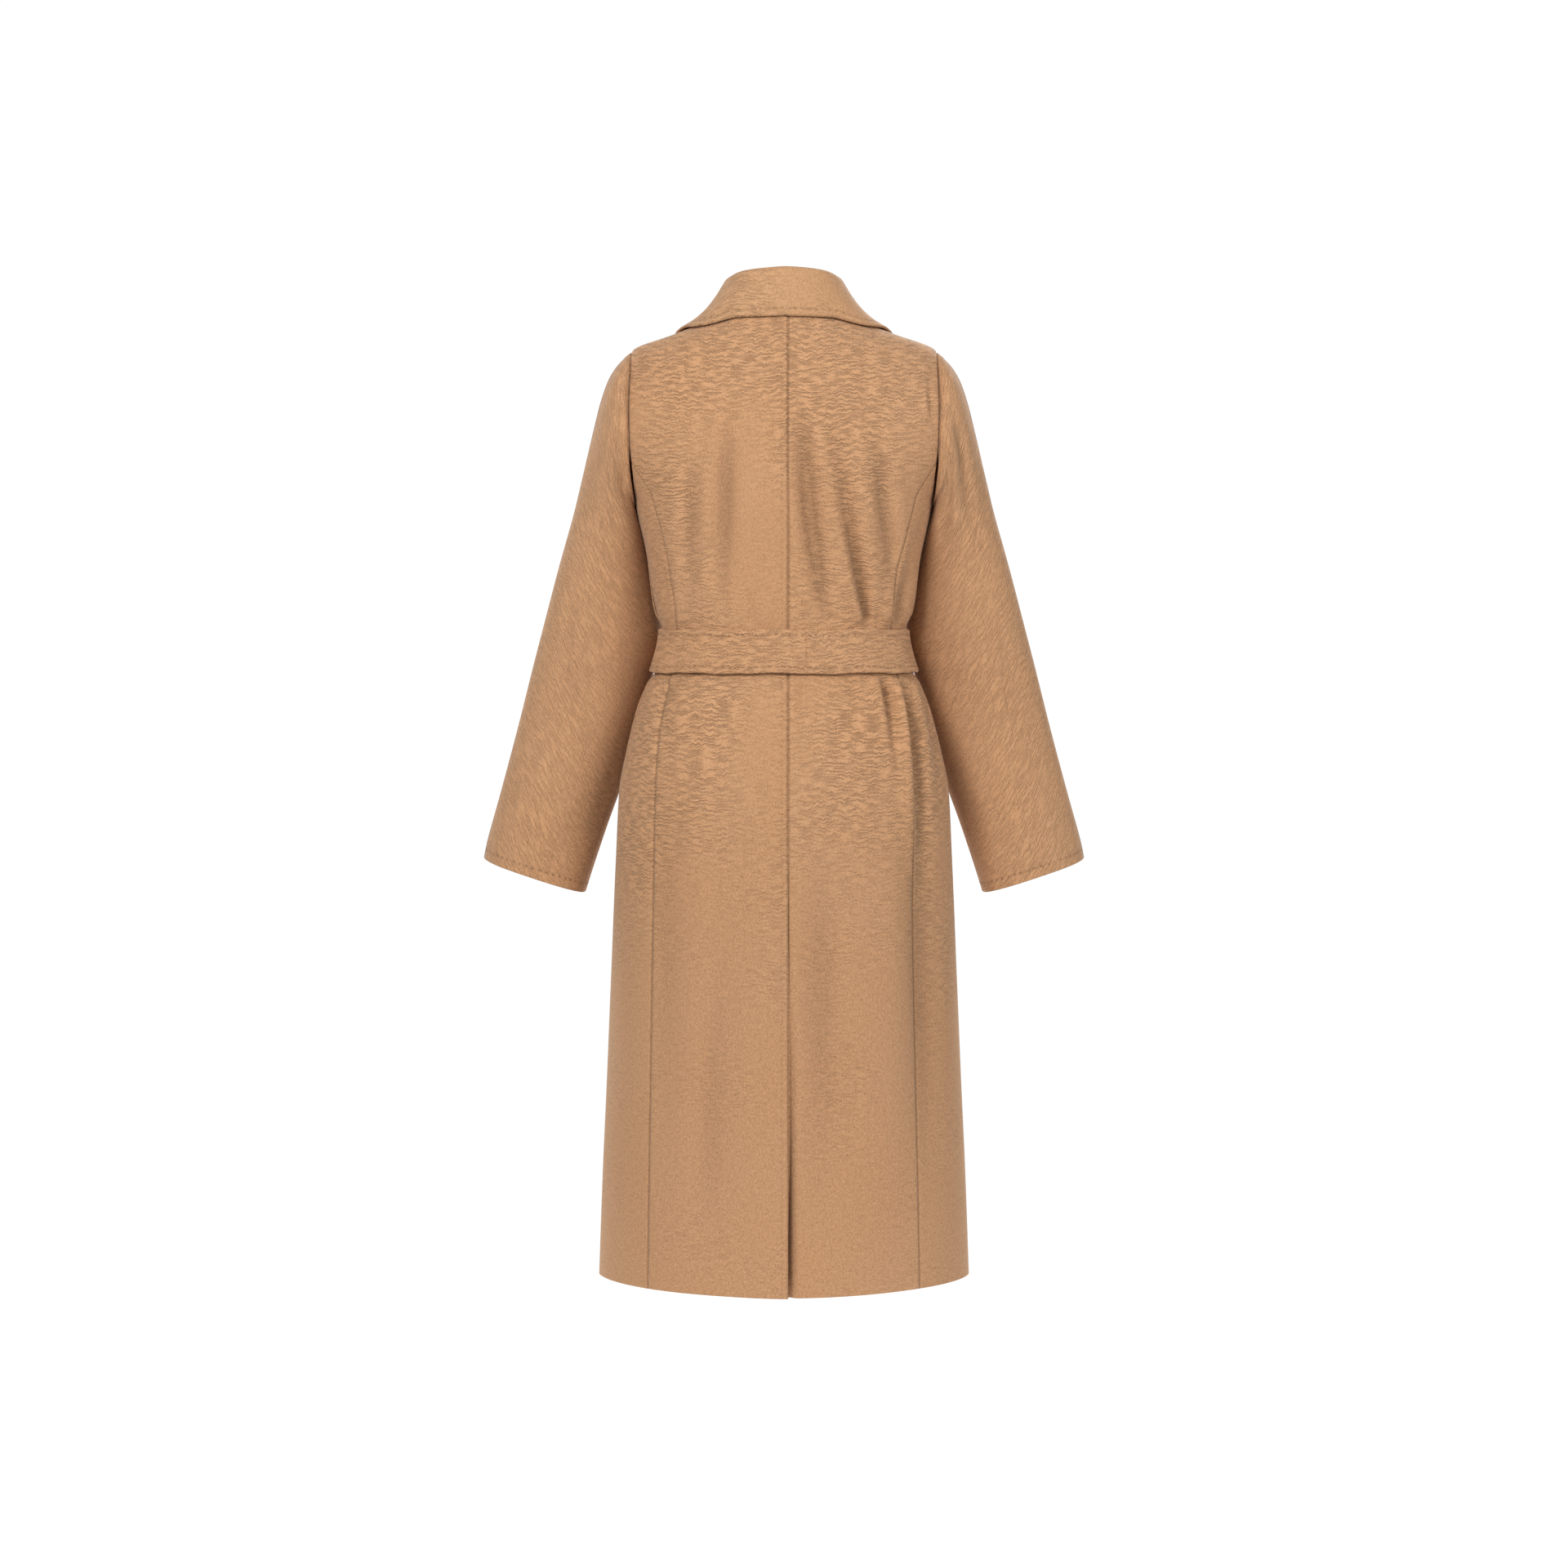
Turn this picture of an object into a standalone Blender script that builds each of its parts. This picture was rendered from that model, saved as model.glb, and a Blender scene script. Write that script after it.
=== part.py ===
"""A long wool wrap coat with a shawl collar and a tied belt, filled out as if worn.

Metres, +Z up. The front faces -Y and the wearer's left is +X. Z = 0 is the neck seam at the nape.

The body is one family of rings. A ring is named by its level, its height at the side of the body;
above the armhole its middle back and middle front lie lower or higher than its sides. An angle goes
round the ring from the centre back (0), by a side (90), to the centre front (180). Each panel is a
patch of that surface with its own edges, and what lies on a panel is the same surface moved out.
"""

import math

import bmesh
import bpy
import numpy as np

# Cloth and seams
CLOTH = 0.0022
COLLAR_CLOTH = 0.0028
LAPEL_CLOTH = 0.0020
BELT_CLOTH = 0.0040
SEAM = 0.0003
LAP_GAP = 0.0006
LAPEL_GAP = 0.0026
LAPEL_FOOT_GAP = 0.0014

# Heights of the cut, at the side of the body
HEM = -1.187
VENT_TOP = -0.666
BELT_BOTTOM = -0.452
BELT_TOP = -0.398
UNDERARM = -0.240
SHOULDER = -0.059
NECK = -0.011

# Armhole oval, sleeve and vent
ARMHOLE_BACK = 0.074
ARMHOLE_FRONT = 0.062
ARMHOLE_STEP = math.radians(15)
NOTCH_TURN = 8 * ARMHOLE_STEP
PRINCESS_NOTCH = UNDERARM + (SHOULDER - UNDERARM) * (1 + math.cos(NOTCH_TURN)) / 2
UNDERLAP = 0.052
UNDERLAP_SLOPE = 0.35
VENT_LIFT = 0.0045
VENT_LIFT_FROM = -0.86
SLEEVE_SQUARE = 2.1
WOOL_ROUGHNESS = 0.85

# How far the over front stands off the body, with the other front below it, or that and its lapel
OVER_SKIRT = 0.0034
LAPEL_RISE = 0.0054
OVER_CHEST = LAPEL_FOOT_GAP + LAPEL_RISE + 3 * LAP_GAP + CLOTH
OVER_FROM, OVER_TO = math.radians(117), math.radians(138)
BELT_JOIN = -0.027
BACK_SEAM = -0.0049
BELT_CLEAR, BELT_EASE = 0.003, 0.014
KNOT_AT, KNOT_WIDTH, KNOT_DEPTH = 0.022, 0.060, 0.026
TAIL_LENGTH = 0.45
TAIL_WIDTH = 0.050


def table(columns, *rows):
    """A table with named columns, as a dictionary of arrays."""
    return {name: np.array([row[i] for row in rows]) for i, name in enumerate(columns.split())}


# One row for each ring of the body, from the hem to the neck seam.
RINGS = table(
    "level half_width back_depth front_depth back_rise front_rise square",
    (HEM, 0.2265, 0.170, 0.155, 0.000, 0.000, 1.72),
    (-1.060, 0.2220, 0.165, 0.150, 0.000, 0.000, 1.78),
    (-0.940, 0.2165, 0.160, 0.145, 0.000, 0.000, 1.85),
    (-0.820, 0.2115, 0.156, 0.141, 0.000, 0.000, 1.93),
    (-0.675, 0.2055, 0.150, 0.137, 0.000, 0.000, 2.05),
    (-0.590, 0.2010, 0.143, 0.133, 0.000, 0.000, 2.15),
    (-0.550, 0.1930, 0.136, 0.128, 0.000, 0.000, 2.2),
    (-0.500, 0.1800, 0.124, 0.119, 0.000, 0.000, 2.2),
    (-0.468, 0.1680, 0.111, 0.111, 0.000, 0.000, 2.2),
    (BELT_BOTTOM, 0.1615, 0.106, 0.107, 0.000, 0.000, 2.2),
    (BELT_TOP, 0.1495, 0.103, 0.106, 0.000, 0.000, 2.2),
    (-0.375, 0.1565, 0.106, 0.1085, 0.000, 0.000, 2.2),
    (-0.306, 0.1680, 0.113, 0.1190, 0.000, 0.000, 2.3),
    (UNDERARM, 0.1820, 0.120, 0.133, 0.000, 0.000, 2.4),
    (-0.150, 0.1870, 0.1195, 0.128, -0.028, -0.038, 2.4),
    (SHOULDER, 0.1860, 0.113, 0.116, -0.070, -0.085, 2.3),
    (-0.035, 0.1270, 0.098, 0.093, -0.036, -0.060, 2.4),
    (NECK, 0.0750, 0.066, 0.052, 0.009, -0.022, 2.0),
)

YOKE_ROUND = 0.018

# How far out the armhole's edge is, from the underarm (0) to the shoulder point (1).
ARMHOLE_EDGE = table(
    "share reach",
    (0.00, 0.1820),
    (0.15, 0.1840),
    (0.40, 0.1870),
    (0.75, 0.1880),
    (1.00, 0.1860),
)

# The seam between a back and its side back, as its distance from the centre back.
PRINCESS = table(
    "level across",
    (HEM, 0.163),
    (-0.620, 0.156),
    (-0.530, 0.152),
    (BELT_BOTTOM, 0.139),
    (BELT_TOP, 0.130),
    (-0.320, 0.139),
    (-0.277, 0.148),
)

# How far a front reaches past the centre front: its edge in the skirt, its roll line above the belt.
WRAP = table(
    "level past",
    (HEM, 0.112),
    (-0.700, 0.108),
    (BELT_BOTTOM, 0.104),
    (-0.398, 0.098),
    (-0.300, 0.055),
    (-0.178, 0.010),
    (SHOULDER, -0.016),
    (-0.035, -0.038),
    (-0.020, -0.057),
    (NECK, -0.0714),
)

# The lapel, from the shoulder down to the belt: its fold and its outer edge, and the fold's height.
LAPEL = table(
    "roll_past roll_level edge_past edge_level rise",
    (-0.0714, -0.0110, -0.1330, -0.0395, 0.0230),
    (-0.0570, -0.0200, -0.1460, -0.0620, 0.0190),
    (-0.0380, -0.0350, -0.1490, -0.1050, 0.0130),
    (-0.0160, -0.0590, -0.1430, -0.1620, 0.0075),
    (0.0070, -0.1650, -0.1150, -0.2350, LAPEL_RISE),
    (0.0450, -0.2760, -0.0650, -0.3200, LAPEL_RISE),
    (0.0940, -0.3900, 0.0350, -0.4150, LAPEL_RISE),
)

# The neck part of the collar round one half of the neck: its fold line, outer edge and fullness.
COLLAR = table(
    "degrees fold_out rise edge_level bulge",
    (0, 0.0040, 0.0410, -0.0180, 0.0015),
    (35, 0.0030, 0.0400, -0.0195, 0.0012),
    (65, -0.0020, 0.0365, -0.0290, -0.0025),
    (90, -0.0050, 0.0295, -0.0350, -0.0055),
    (108, -0.0040, 0.0230, -0.0395, -0.0055),
)
COLLAR_RADIUS = 0.0052
COLLAR_EDGE_GAP = 0.0014
COLLAR_SEAM = 0.0009
LAPEL_RADIUS = 0.0023
LAPEL_ROWS, LAPEL_COLUMNS = 27, 5

# Sleeve rings below the armhole, in the wearer's left sleeve: outer and inner side, front-back place.
SLEEVE = table(
    "outer_x outer_z inner_x inner_z outer_y inner_y half_depth",
    (0.1990, -0.0710, 0.1850, -0.2415, 0.006, 0.005, 0.0715),
    (0.2130, -0.0910, 0.1875, -0.2450, 0.005, 0.001, 0.0740),
    (0.2240, -0.1200, 0.1865, -0.2520, 0.003, -0.008, 0.0750),
    (0.2350, -0.1620, 0.1810, -0.2650, 0.001, -0.019, 0.0745),
    (0.2470, -0.2110, 0.1705, -0.2880, -0.002, -0.033, 0.0735),
    (0.2610, -0.2680, 0.1630, -0.3220, -0.006, -0.048, 0.0715),
    (0.2765, -0.3260, 0.1555, -0.3660, -0.010, -0.060, 0.0695),
    (0.2920, -0.3860, 0.1540, -0.4150, -0.016, -0.066, 0.0675),
    (0.3090, -0.4480, 0.1660, -0.4680, -0.030, -0.068, 0.0655),
    (0.3250, -0.5060, 0.1815, -0.5220, -0.045, -0.066, 0.0638),
    (0.3405, -0.5600, 0.1990, -0.5830, -0.056, -0.064, 0.0620),
    (0.3560, -0.6150, 0.2190, -0.6400, -0.060, -0.062, 0.0600),
    (0.3680, -0.6600, 0.2370, -0.6960, -0.062, -0.062, 0.0580),
    (0.3725, -0.6830, 0.2460, -0.7250, -0.063, -0.063, 0.0575),
)

# Long soft folds of the back, on the wearer's left where "across" is positive.
FOLDS = table(
    "top_across top_level end_across end_level bow depth width peak",
    (-0.0235, -0.100, -0.0560, -0.392, 0.006, 0.0050, 0.012, 0.70),
    (-0.0595, -0.130, -0.1020, -0.396, 0.002, 0.0085, 0.012, 0.85),
    (-0.1180, -0.225, -0.1290, -0.396, -0.003, 0.0060, 0.014, 0.70),
    (0.0600, -0.118, 0.0830, -0.380, -0.002, 0.0050, 0.016, 0.55),
    (-0.1200, -0.454, -0.1360, -0.540, 0.000, 0.0050, 0.010, 0.25),
    (-0.1430, -0.454, -0.1640, -0.640, -0.006, 0.0075, 0.011, 0.35),
    (0.1240, -0.454, 0.1420, -0.600, 0.004, 0.0040, 0.014, 0.30),
    (0.0300, -0.456, 0.0420, -0.640, 0.000, 0.0025, 0.018, 0.30),
    (-0.0500, -0.456, -0.0640, -0.700, 0.000, 0.0030, 0.018, 0.30),
)

# Similar folds of the fronts, by their distance past the centre front on the front's own side.
FRONT_FOLDS = table(
    "top_across top_level end_across end_level bow depth width peak",
    (0.1560, -0.280, 0.1340, -0.396, 0.002, 0.0050, 0.011, 0.75),
    (0.1380, -0.454, 0.1640, -0.640, 0.004, 0.0060, 0.011, 0.30),
)

# Where the body panels have their rows, as spans of levels with a number of rows each.
LOWER_SPANS = ((HEM, VENT_TOP, 8), (VENT_TOP, BELT_BOTTOM, 7), (BELT_BOTTOM, BELT_TOP, 3))
# The row under the belt where each long panel is parted, and the ring where each sleeve is.
PARTED_AT = sum(count for _, _, count in LOWER_SPANS) - 1
SLEEVE_PARTED_AT = 7
CHEST_ROWS = 8
YOKE_ROWS = 5


# ---------------------------------------------------------------- curves and the body's surface


def smooth(xs, ys, at):
    """Values on a smooth curve through the points, which never overshoots them."""
    steps = np.diff(xs)
    slopes = np.diff(ys) / steps
    tangents = np.concatenate([slopes[:1], np.zeros(len(xs) - 2), slopes[-1:]])
    same_way = slopes[1:] * slopes[:-1] > 0
    before, after = slopes[:-1][same_way], slopes[1:][same_way]
    near = (2 * steps[1:] + steps[:-1])[same_way]
    far = (steps[1:] + 2 * steps[:-1])[same_way]
    tangents[1:-1][same_way] = (near + far) / (near / before + far / after)
    at = np.clip(at, xs[0], xs[-1])
    i = np.clip(np.searchsorted(xs, at) - 1, 0, len(xs) - 2)
    t = (at - xs[i]) / steps[i]
    return (
        ys[i] * (1 + 2 * t) * (1 - t) ** 2
        + ys[i + 1] * t**2 * (3 - 2 * t)
        + steps[i] * (tangents[i] * t * (1 - t) ** 2 - tangents[i + 1] * t**2 * (1 - t))
    )


def column(rows, name, at):
    """A column of a table, read along its first column."""
    first = next(iter(rows.values()))
    return smooth(first, rows[name], at)


def ease(start, end, at):
    """0 before start and 1 after end, with a soft change between them."""
    t = np.clip((at - start) / (end - start), 0, 1)
    return t * t * (3 - 2 * t)


def power(value, exponent):
    return np.sign(value) * np.abs(value) ** exponent


def armhole_share(level):
    return np.clip((level - UNDERARM) / (SHOULDER - UNDERARM), 0, 1)


def armhole_opening(level):
    """How wide the armhole oval is open at a level, from 0 to 1."""
    return np.sqrt(np.clip(1 - (2 * armhole_share(level) - 1) ** 2, 0, 1))


def half_width(level, depth, armhole_half):
    """The ring's half width. Beside the armhole it is the one that puts the oval's edge in its place."""
    plain = column(RINGS, "half_width", level)
    square = column(RINGS, "square", level)
    edge = column(ARMHOLE_EDGE, "reach", armhole_share(level))
    edge_share = np.clip(armhole_half * armhole_opening(level) / depth, 0, 0.9)
    wide = edge / (1 - edge_share**square) ** (1 / square)
    return np.where((level > UNDERARM) & (level < SHOULDER), wide, plain)


def ring_sizes(level, at_back):
    """Half width, depth and squareness of the back or front half of a ring."""
    back, front = column(RINGS, "back_depth", level), column(RINGS, "front_depth", level)
    depth = np.where(at_back, back, front)
    width = half_width(level, depth, np.where(at_back, ARMHOLE_BACK, ARMHOLE_FRONT))
    return width, depth, column(RINGS, "square", level)


def ring_point(angle, level):
    """A point of a ring, before the rings at the shoulder are rounded into one another."""
    across, along = np.sin(angle), np.cos(angle)
    width, depth, square = ring_sizes(level, along >= 0)
    rise = np.where(
        along >= 0, column(RINGS, "back_rise", level), column(RINGS, "front_rise", level)
    )
    return np.stack(
        [
            width * power(across, 2 / square),
            depth * power(along, 2 / square),
            level + rise * along**2,
        ],
        axis=-1,
    )


def body_point(angle, level):
    """A point of the body's surface. The shoulder blades and the chest round over into the yoke."""
    angle, level = np.broadcast_arrays(np.asarray(angle, float), np.asarray(level, float))
    near_shoulder = ease(-0.130, -0.085, level) * (1 - ease(-0.040, NECK, level))
    reach = YOKE_ROUND * near_shoulder * np.sqrt(np.abs(np.cos(angle)))
    point = 0.5 * ring_point(angle, level)
    for way in (-1, 1):
        point = point + 0.25 * ring_point(angle, level + way * reach)
    return point


def body_normal(angle, level):
    """Straight out of the cloth."""
    angle, level = np.broadcast_arrays(np.asarray(angle, float), np.asarray(level, float))
    turn, climb = 0.01, 0.002
    round_it = body_point(angle + turn, level) - body_point(angle - turn, level)
    above, below = np.clip(level + climb, HEM, NECK), np.clip(level - climb, HEM, NECK)
    up_it = body_point(angle, above) - body_point(angle, below)
    out = np.cross(up_it, round_it)
    return out / np.linalg.norm(out, axis=-1, keepdims=True)


def angle_at_back(across, level):
    """The angle where a ring passes that far to the side of the centre back."""
    width, _, square = ring_sizes(level, True)
    return np.arcsin(np.clip(power(across / width, square / 2), -1, 1))


def angle_at_front(past, level):
    """The angle where a front that comes round from its own side reaches that far past the centre."""
    width, _, square = ring_sizes(level, False)
    return math.pi + np.arcsin(np.clip(power(past / width, square / 2), -1, 1))


def armhole_angle(level, at_back):
    """The angle of the armhole's edge on the back or front half of a ring."""
    half = np.where(at_back, ARMHOLE_BACK, ARMHOLE_FRONT) * armhole_opening(level)
    _, depth, square = ring_sizes(level, at_back)
    angle = np.arccos(np.clip((half / depth) ** (square / 2), 0, 1))
    return np.where(at_back, angle, math.pi - angle)


def fold_depth(folds, across, level):
    """How far the cloth is drawn in by the folds, with a soft ridge on both sides of each."""
    total = np.zeros(np.broadcast(across, level).shape)
    for i in range(len(folds["depth"])):
        row = {name: values[i] for name, values in folds.items()}
        t = (level - row["top_level"]) / (row["end_level"] - row["top_level"])
        inside = np.clip(t, 0, 1)
        middle = row["top_across"] + (row["end_across"] - row["top_across"]) * inside
        middle = middle + row["bow"] * 4 * inside * (1 - inside)
        strength = ease(-0.02, row["peak"], t) * (1 - ease(row["peak"], 1.02, t))
        from_middle = (across - middle) / row["width"]
        valley = np.exp(-(from_middle**2)) - 0.35 * np.exp(-((np.abs(from_middle) - 1.9) ** 2))
        total += row["depth"] * strength * valley
    return total


def under_belt(level):
    """1 where the belt presses the cloth flat."""
    return ease(BELT_BOTTOM - BELT_EASE, BELT_BOTTOM - BELT_CLEAR, level) * (
        1 - ease(BELT_TOP + BELT_CLEAR, BELT_TOP + BELT_EASE, level)
    )


def spread(start, end, count):
    return np.linspace(start, end, count + 1)


# ---------------------------------------------------------------- meshes, materials and scene


def clear_scene():
    for thing in list(bpy.data.objects):
        bpy.data.objects.remove(thing, do_unlink=True)


def wool(name, colour):
    material = bpy.data.materials.new(name)
    material.use_nodes = True
    shader = material.node_tree.nodes["Principled BSDF"]
    shader.inputs["Base Color"].default_value = (*colour, 1)
    shader.inputs["Roughness"].default_value = WOOL_ROUGHNESS
    shader.inputs["Metallic"].default_value = 0.0
    return material


def wall(collection, name, outer, inner, colour, closed=False):
    """A closed piece of cloth between two grids of points. Rows go up and columns go round.

    With closed, the last column is joined to the first.
    """
    rows, columns = outer.shape[:2]
    place = np.arange(rows * columns).reshape(rows, columns)
    if closed:
        place = np.concatenate([place, place[:, :1]], axis=1)
    shift = rows * columns
    cells = np.stack([place[:-1, :-1], place[:-1, 1:], place[1:, 1:], place[1:, :-1]], axis=-1)
    face_side = cells.reshape(-1, 4)
    rims = [place[0], place[-1][::-1]]
    if not closed:
        rims += [place[:, -1], place[::-1, 0]]
    rim_faces = [
        np.stack([rim[1:], rim[:-1], rim[:-1] + shift, rim[1:] + shift], axis=-1) for rim in rims
    ]
    faces = np.concatenate([face_side, face_side[:, ::-1] + shift, *rim_faces])
    mesh = bpy.data.meshes.new(name)
    points = np.concatenate([outer.reshape(-1, 3), inner.reshape(-1, 3)])
    mesh.from_pydata(points.tolist(), [], faces.tolist())
    body = bmesh.new()
    body.from_mesh(mesh)
    bmesh.ops.recalc_face_normals(body, faces=body.faces)
    body.to_mesh(mesh)
    body.free()
    mesh.shade_smooth()
    mesh.set_sharp_from_angle(angle=math.radians(50))
    piece = bpy.data.objects.new(name, mesh)
    collection.objects.link(piece)
    mesh.materials.append(wool(name + "_wool", colour))
    return piece


def trim(outer, inner, first=0.0, last=0.0, top=0.0, bottom=0.0):
    """Cuts a piece back from its seams: the first and last column or row, along the cloth."""
    outer, inner = outer.copy(), inner.copy()

    def pull(edge, beside, gap):
        along = outer[beside] - outer[edge]
        step = gap * along / np.linalg.norm(along, axis=-1, keepdims=True)
        outer[edge] += step
        inner[edge] += step

    every = slice(None)
    if first:
        pull((every, 0), (every, 1), first)
    if last:
        pull((every, -1), (every, -2), last)
    if top:
        pull((-1, every), (-2, every), top)
    if bottom:
        pull((0, every), (1, every), bottom)
    return outer, inner


def parted_wall(collection, name, row, outer, inner, colour, ends=("_lower", "_upper"), closed=False):
    """A piece of cloth as two solids that meet, a seam's gap apart, at one of its rows."""
    before = trim(outer[: row + 1], inner[: row + 1], top=SEAM / 2)
    after = trim(outer[row:], inner[row:], bottom=SEAM / 2)
    wall(collection, name + ends[0], *before, colour, closed)
    wall(collection, name + ends[1], *after, colour, closed)


def tube_normals(grid, towards):
    """Straight out of a tube of points, on the side that the given directions lie on."""
    up_it = np.gradient(grid, axis=0)
    round_it = np.roll(grid, -1, axis=1) - np.roll(grid, 1, axis=1)
    out = np.cross(up_it, round_it)
    out = out / np.linalg.norm(out, axis=-1, keepdims=True)
    facing = np.sum(out * towards, axis=-1, keepdims=True)
    return np.where(facing < 0, -out, out)


def on_body(angle, level, lift):
    """Points on the body's surface, moved out by a lift."""
    return body_point(angle, level) + body_normal(angle, level) * np.asarray(lift)[..., None]


def cloth_on_body(angle, level, lift, thick):
    """The outer and inner points of cloth whose outer side is lifted that far off the body."""
    normal = body_normal(angle, level)
    outer = body_point(angle, level) + normal * np.asarray(lift)[..., None]
    return outer, outer - normal * thick


# ---------------------------------------------------------------- body panels


def armhole_levels(turn):
    """Levels of the armhole's edge at turns round it: 0 at the shoulder point, 180 at the underarm."""
    return UNDERARM + (SHOULDER - UNDERARM) * (1 + np.cos(turn)) / 2


def lower_levels():
    rows = [spread(start, end, count)[:-1] for start, end, count in LOWER_SPANS]
    return np.concatenate(rows)


def yoke_levels():
    """Rows from the shoulder seam's outer end to the neck, closer together where the cloth turns."""
    return SHOULDER + (NECK - SHOULDER) * spread(0, 1, YOKE_ROWS) ** 1.25


def princess_angle(level):
    """The angle of the seam between back and side back, up to where it meets the armhole."""
    table_top = PRINCESS["level"][-1]
    low = angle_at_back(column(PRINCESS, "across", level), level)
    start = angle_at_back(PRINCESS["across"][-1], table_top)
    end = armhole_angle(PRINCESS_NOTCH, True)
    share = (level - table_top) / (PRINCESS_NOTCH - table_top)
    return np.where(level < table_top, low, start + (end - start) * share)


def back_edge(level):
    """The outer edge of a back: the princess seam, the armhole, then the shoulder seam."""
    edge = np.where(level < PRINCESS_NOTCH, princess_angle(level), armhole_angle(level, True))
    return np.where(level >= SHOULDER, math.pi / 2, edge)


def back_levels():
    turns = np.arange(NOTCH_TURN, ARMHOLE_STEP / 2, -ARMHOLE_STEP)
    return np.concatenate(
        [
            lower_levels(),
            spread(BELT_TOP, PRINCESS_NOTCH, CHEST_ROWS)[:-1],
            armhole_levels(turns),
            yoke_levels(),
        ]
    )


def back_lift(across, level, side):
    """The folds of the back, and the lift of the vent's upper lap."""
    folds = fold_depth(FOLDS, across, level) * (1 - under_belt(level))
    lap = 0.0
    if side > 0:
        near_edge = 1 - ease(0.0, 0.075, across)
        lap = VENT_LIFT * near_edge * (1 - ease(HEM, VENT_LIFT_FROM, level))
    return lap - folds


def make_back(collection, name, side, colour):
    """One half of the back, from the centre seam."""
    levels = back_levels()
    columns = spread(0, 1, 12) ** 0.95
    level = np.repeat(levels[:, None], len(columns), axis=1)
    start = side * angle_at_back(BACK_SEAM, levels)[:, None]
    angle = start + (back_edge(levels)[:, None] - start) * columns[None, :]
    across = body_point(side * angle, level)[..., 0]
    lift = back_lift(across, level, side)
    outer, inner = cloth_on_body(side * angle, level, lift, CLOTH)
    outer, inner = trim(outer, inner, first=SEAM / 2, last=SEAM / 2)
    parted_wall(collection, name, PARTED_AT, outer, inner, colour)


def make_underlap(collection, name, colour):
    """The strip of the right back that lies below the left back at the vent, with a slanted top."""
    levels = np.concatenate(
        [spread(HEM + 0.002, VENT_TOP - 0.03, 8)[:-1], spread(VENT_TOP - 0.03, VENT_TOP, 2)]
    )
    across = spread(BACK_SEAM - 0.010, UNDERLAP, 4)
    slope = UNDERLAP_SLOPE * np.clip(across, 0, None)[None, :]
    share = ease(levels[0], levels[-1], levels)[:, None]
    level = levels[:, None] - slope * share
    angle = angle_at_back(across[None, :] + 0 * level, level)
    below_cloth = -(CLOTH + LAP_GAP) * np.ones_like(level)
    folds = fold_depth(FOLDS, across[None, :], level)
    outer, inner = cloth_on_body(angle, level, below_cloth - folds, CLOTH)
    return wall(collection, name, outer, inner, colour)


def make_side_back(collection, name, side, colour):
    """The panel between the princess seam and the side seam, up to the lower quarter of the armhole."""
    turns = np.arange(NOTCH_TURN, math.pi + ARMHOLE_STEP / 2, ARMHOLE_STEP)
    columns = (turns - NOTCH_TURN) / (math.pi - NOTCH_TURN)
    top = armhole_levels(turns)
    seam_at_top = princess_angle(top)
    top_share = (armhole_angle(top, True) - seam_at_top) / (math.pi / 2 - seam_at_top)
    lower = lower_levels()
    rise = spread(0, 1, CHEST_ROWS)[:, None]
    level = np.concatenate(
        [np.repeat(lower[:, None], len(columns), axis=1), BELT_TOP + (top - BELT_TOP) * rise]
    )
    climb = np.concatenate([np.zeros((len(lower), 1)), rise**2])
    share = columns + (top_share - columns) * climb
    seam = princess_angle(level)
    angle = seam + (math.pi / 2 - seam) * share
    across = body_point(side * angle, level)[..., 0]
    lift = back_lift(across, level, side) * (1 - ease(0.5, 1.0, share))
    outer, inner = cloth_on_body(side * angle, level, lift, CLOTH)
    outer, inner = trim(outer, inner, first=SEAM / 2, last=SEAM / 2, top=SEAM / 2)
    parted_wall(collection, name, PARTED_AT, outer, inner, colour)


def over_lift(angle, level):
    """How far the over front stands off the body; its angle is counted round from its own side."""
    chest = ease(BELT_BOTTOM - 0.020, BELT_BOTTOM + 0.020, level)
    high = OVER_SKIRT + (OVER_CHEST - OVER_SKIRT) * chest
    return high * ease(OVER_FROM, OVER_TO, angle)


def front_side_edge(level):
    """The side seam, the armhole's front edge, then the shoulder seam."""
    beside_armhole = (level > UNDERARM) & (level < SHOULDER)
    return np.where(beside_armhole, armhole_angle(level, False), math.pi / 2)


def make_front(collection, name, side, over, colour):
    """A whole front, from the side seam to its edge; above the belt it ends at the roll line."""
    levels = np.concatenate(
        [
            lower_levels(),
            spread(BELT_TOP, UNDERARM, CHEST_ROWS)[:-1],
            armhole_levels(np.arange(math.pi, ARMHOLE_STEP / 2, -ARMHOLE_STEP)),
            yoke_levels(),
        ]
    )
    columns = spread(0, 1, 11)
    level = np.repeat(levels[:, None], len(columns), axis=1)
    start = front_side_edge(levels)[:, None]
    end = angle_at_front(column(WRAP, "past", levels), levels)[:, None]
    angle = start + (end - start) * columns[None, :]
    across = np.abs(body_point(angle, level)[..., 0])
    own_side = 1 - ease(math.radians(165), math.radians(172), angle)
    folds = fold_depth(FRONT_FOLDS, across, level) * (1 - under_belt(level)) * own_side
    lift = (over_lift(angle, level) if over else 0.0) - folds
    outer, inner = cloth_on_body(side * angle, level, lift, CLOTH)
    outer, inner = trim(outer, inner, first=SEAM / 2, last=SEAM / 2)
    parted_wall(collection, name, PARTED_AT, outer, inner, colour)


# ---------------------------------------------------------------- sleeves


def armhole_loop(turn):
    """Points of the armhole's edge at turns round it: 0 at the shoulder, 90 behind, 180 underarm."""
    at_back = np.sin(turn) >= 0
    level = armhole_levels(turn)
    angle = armhole_angle(level, at_back)
    return body_point(angle, level), body_normal(angle, level)


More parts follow.
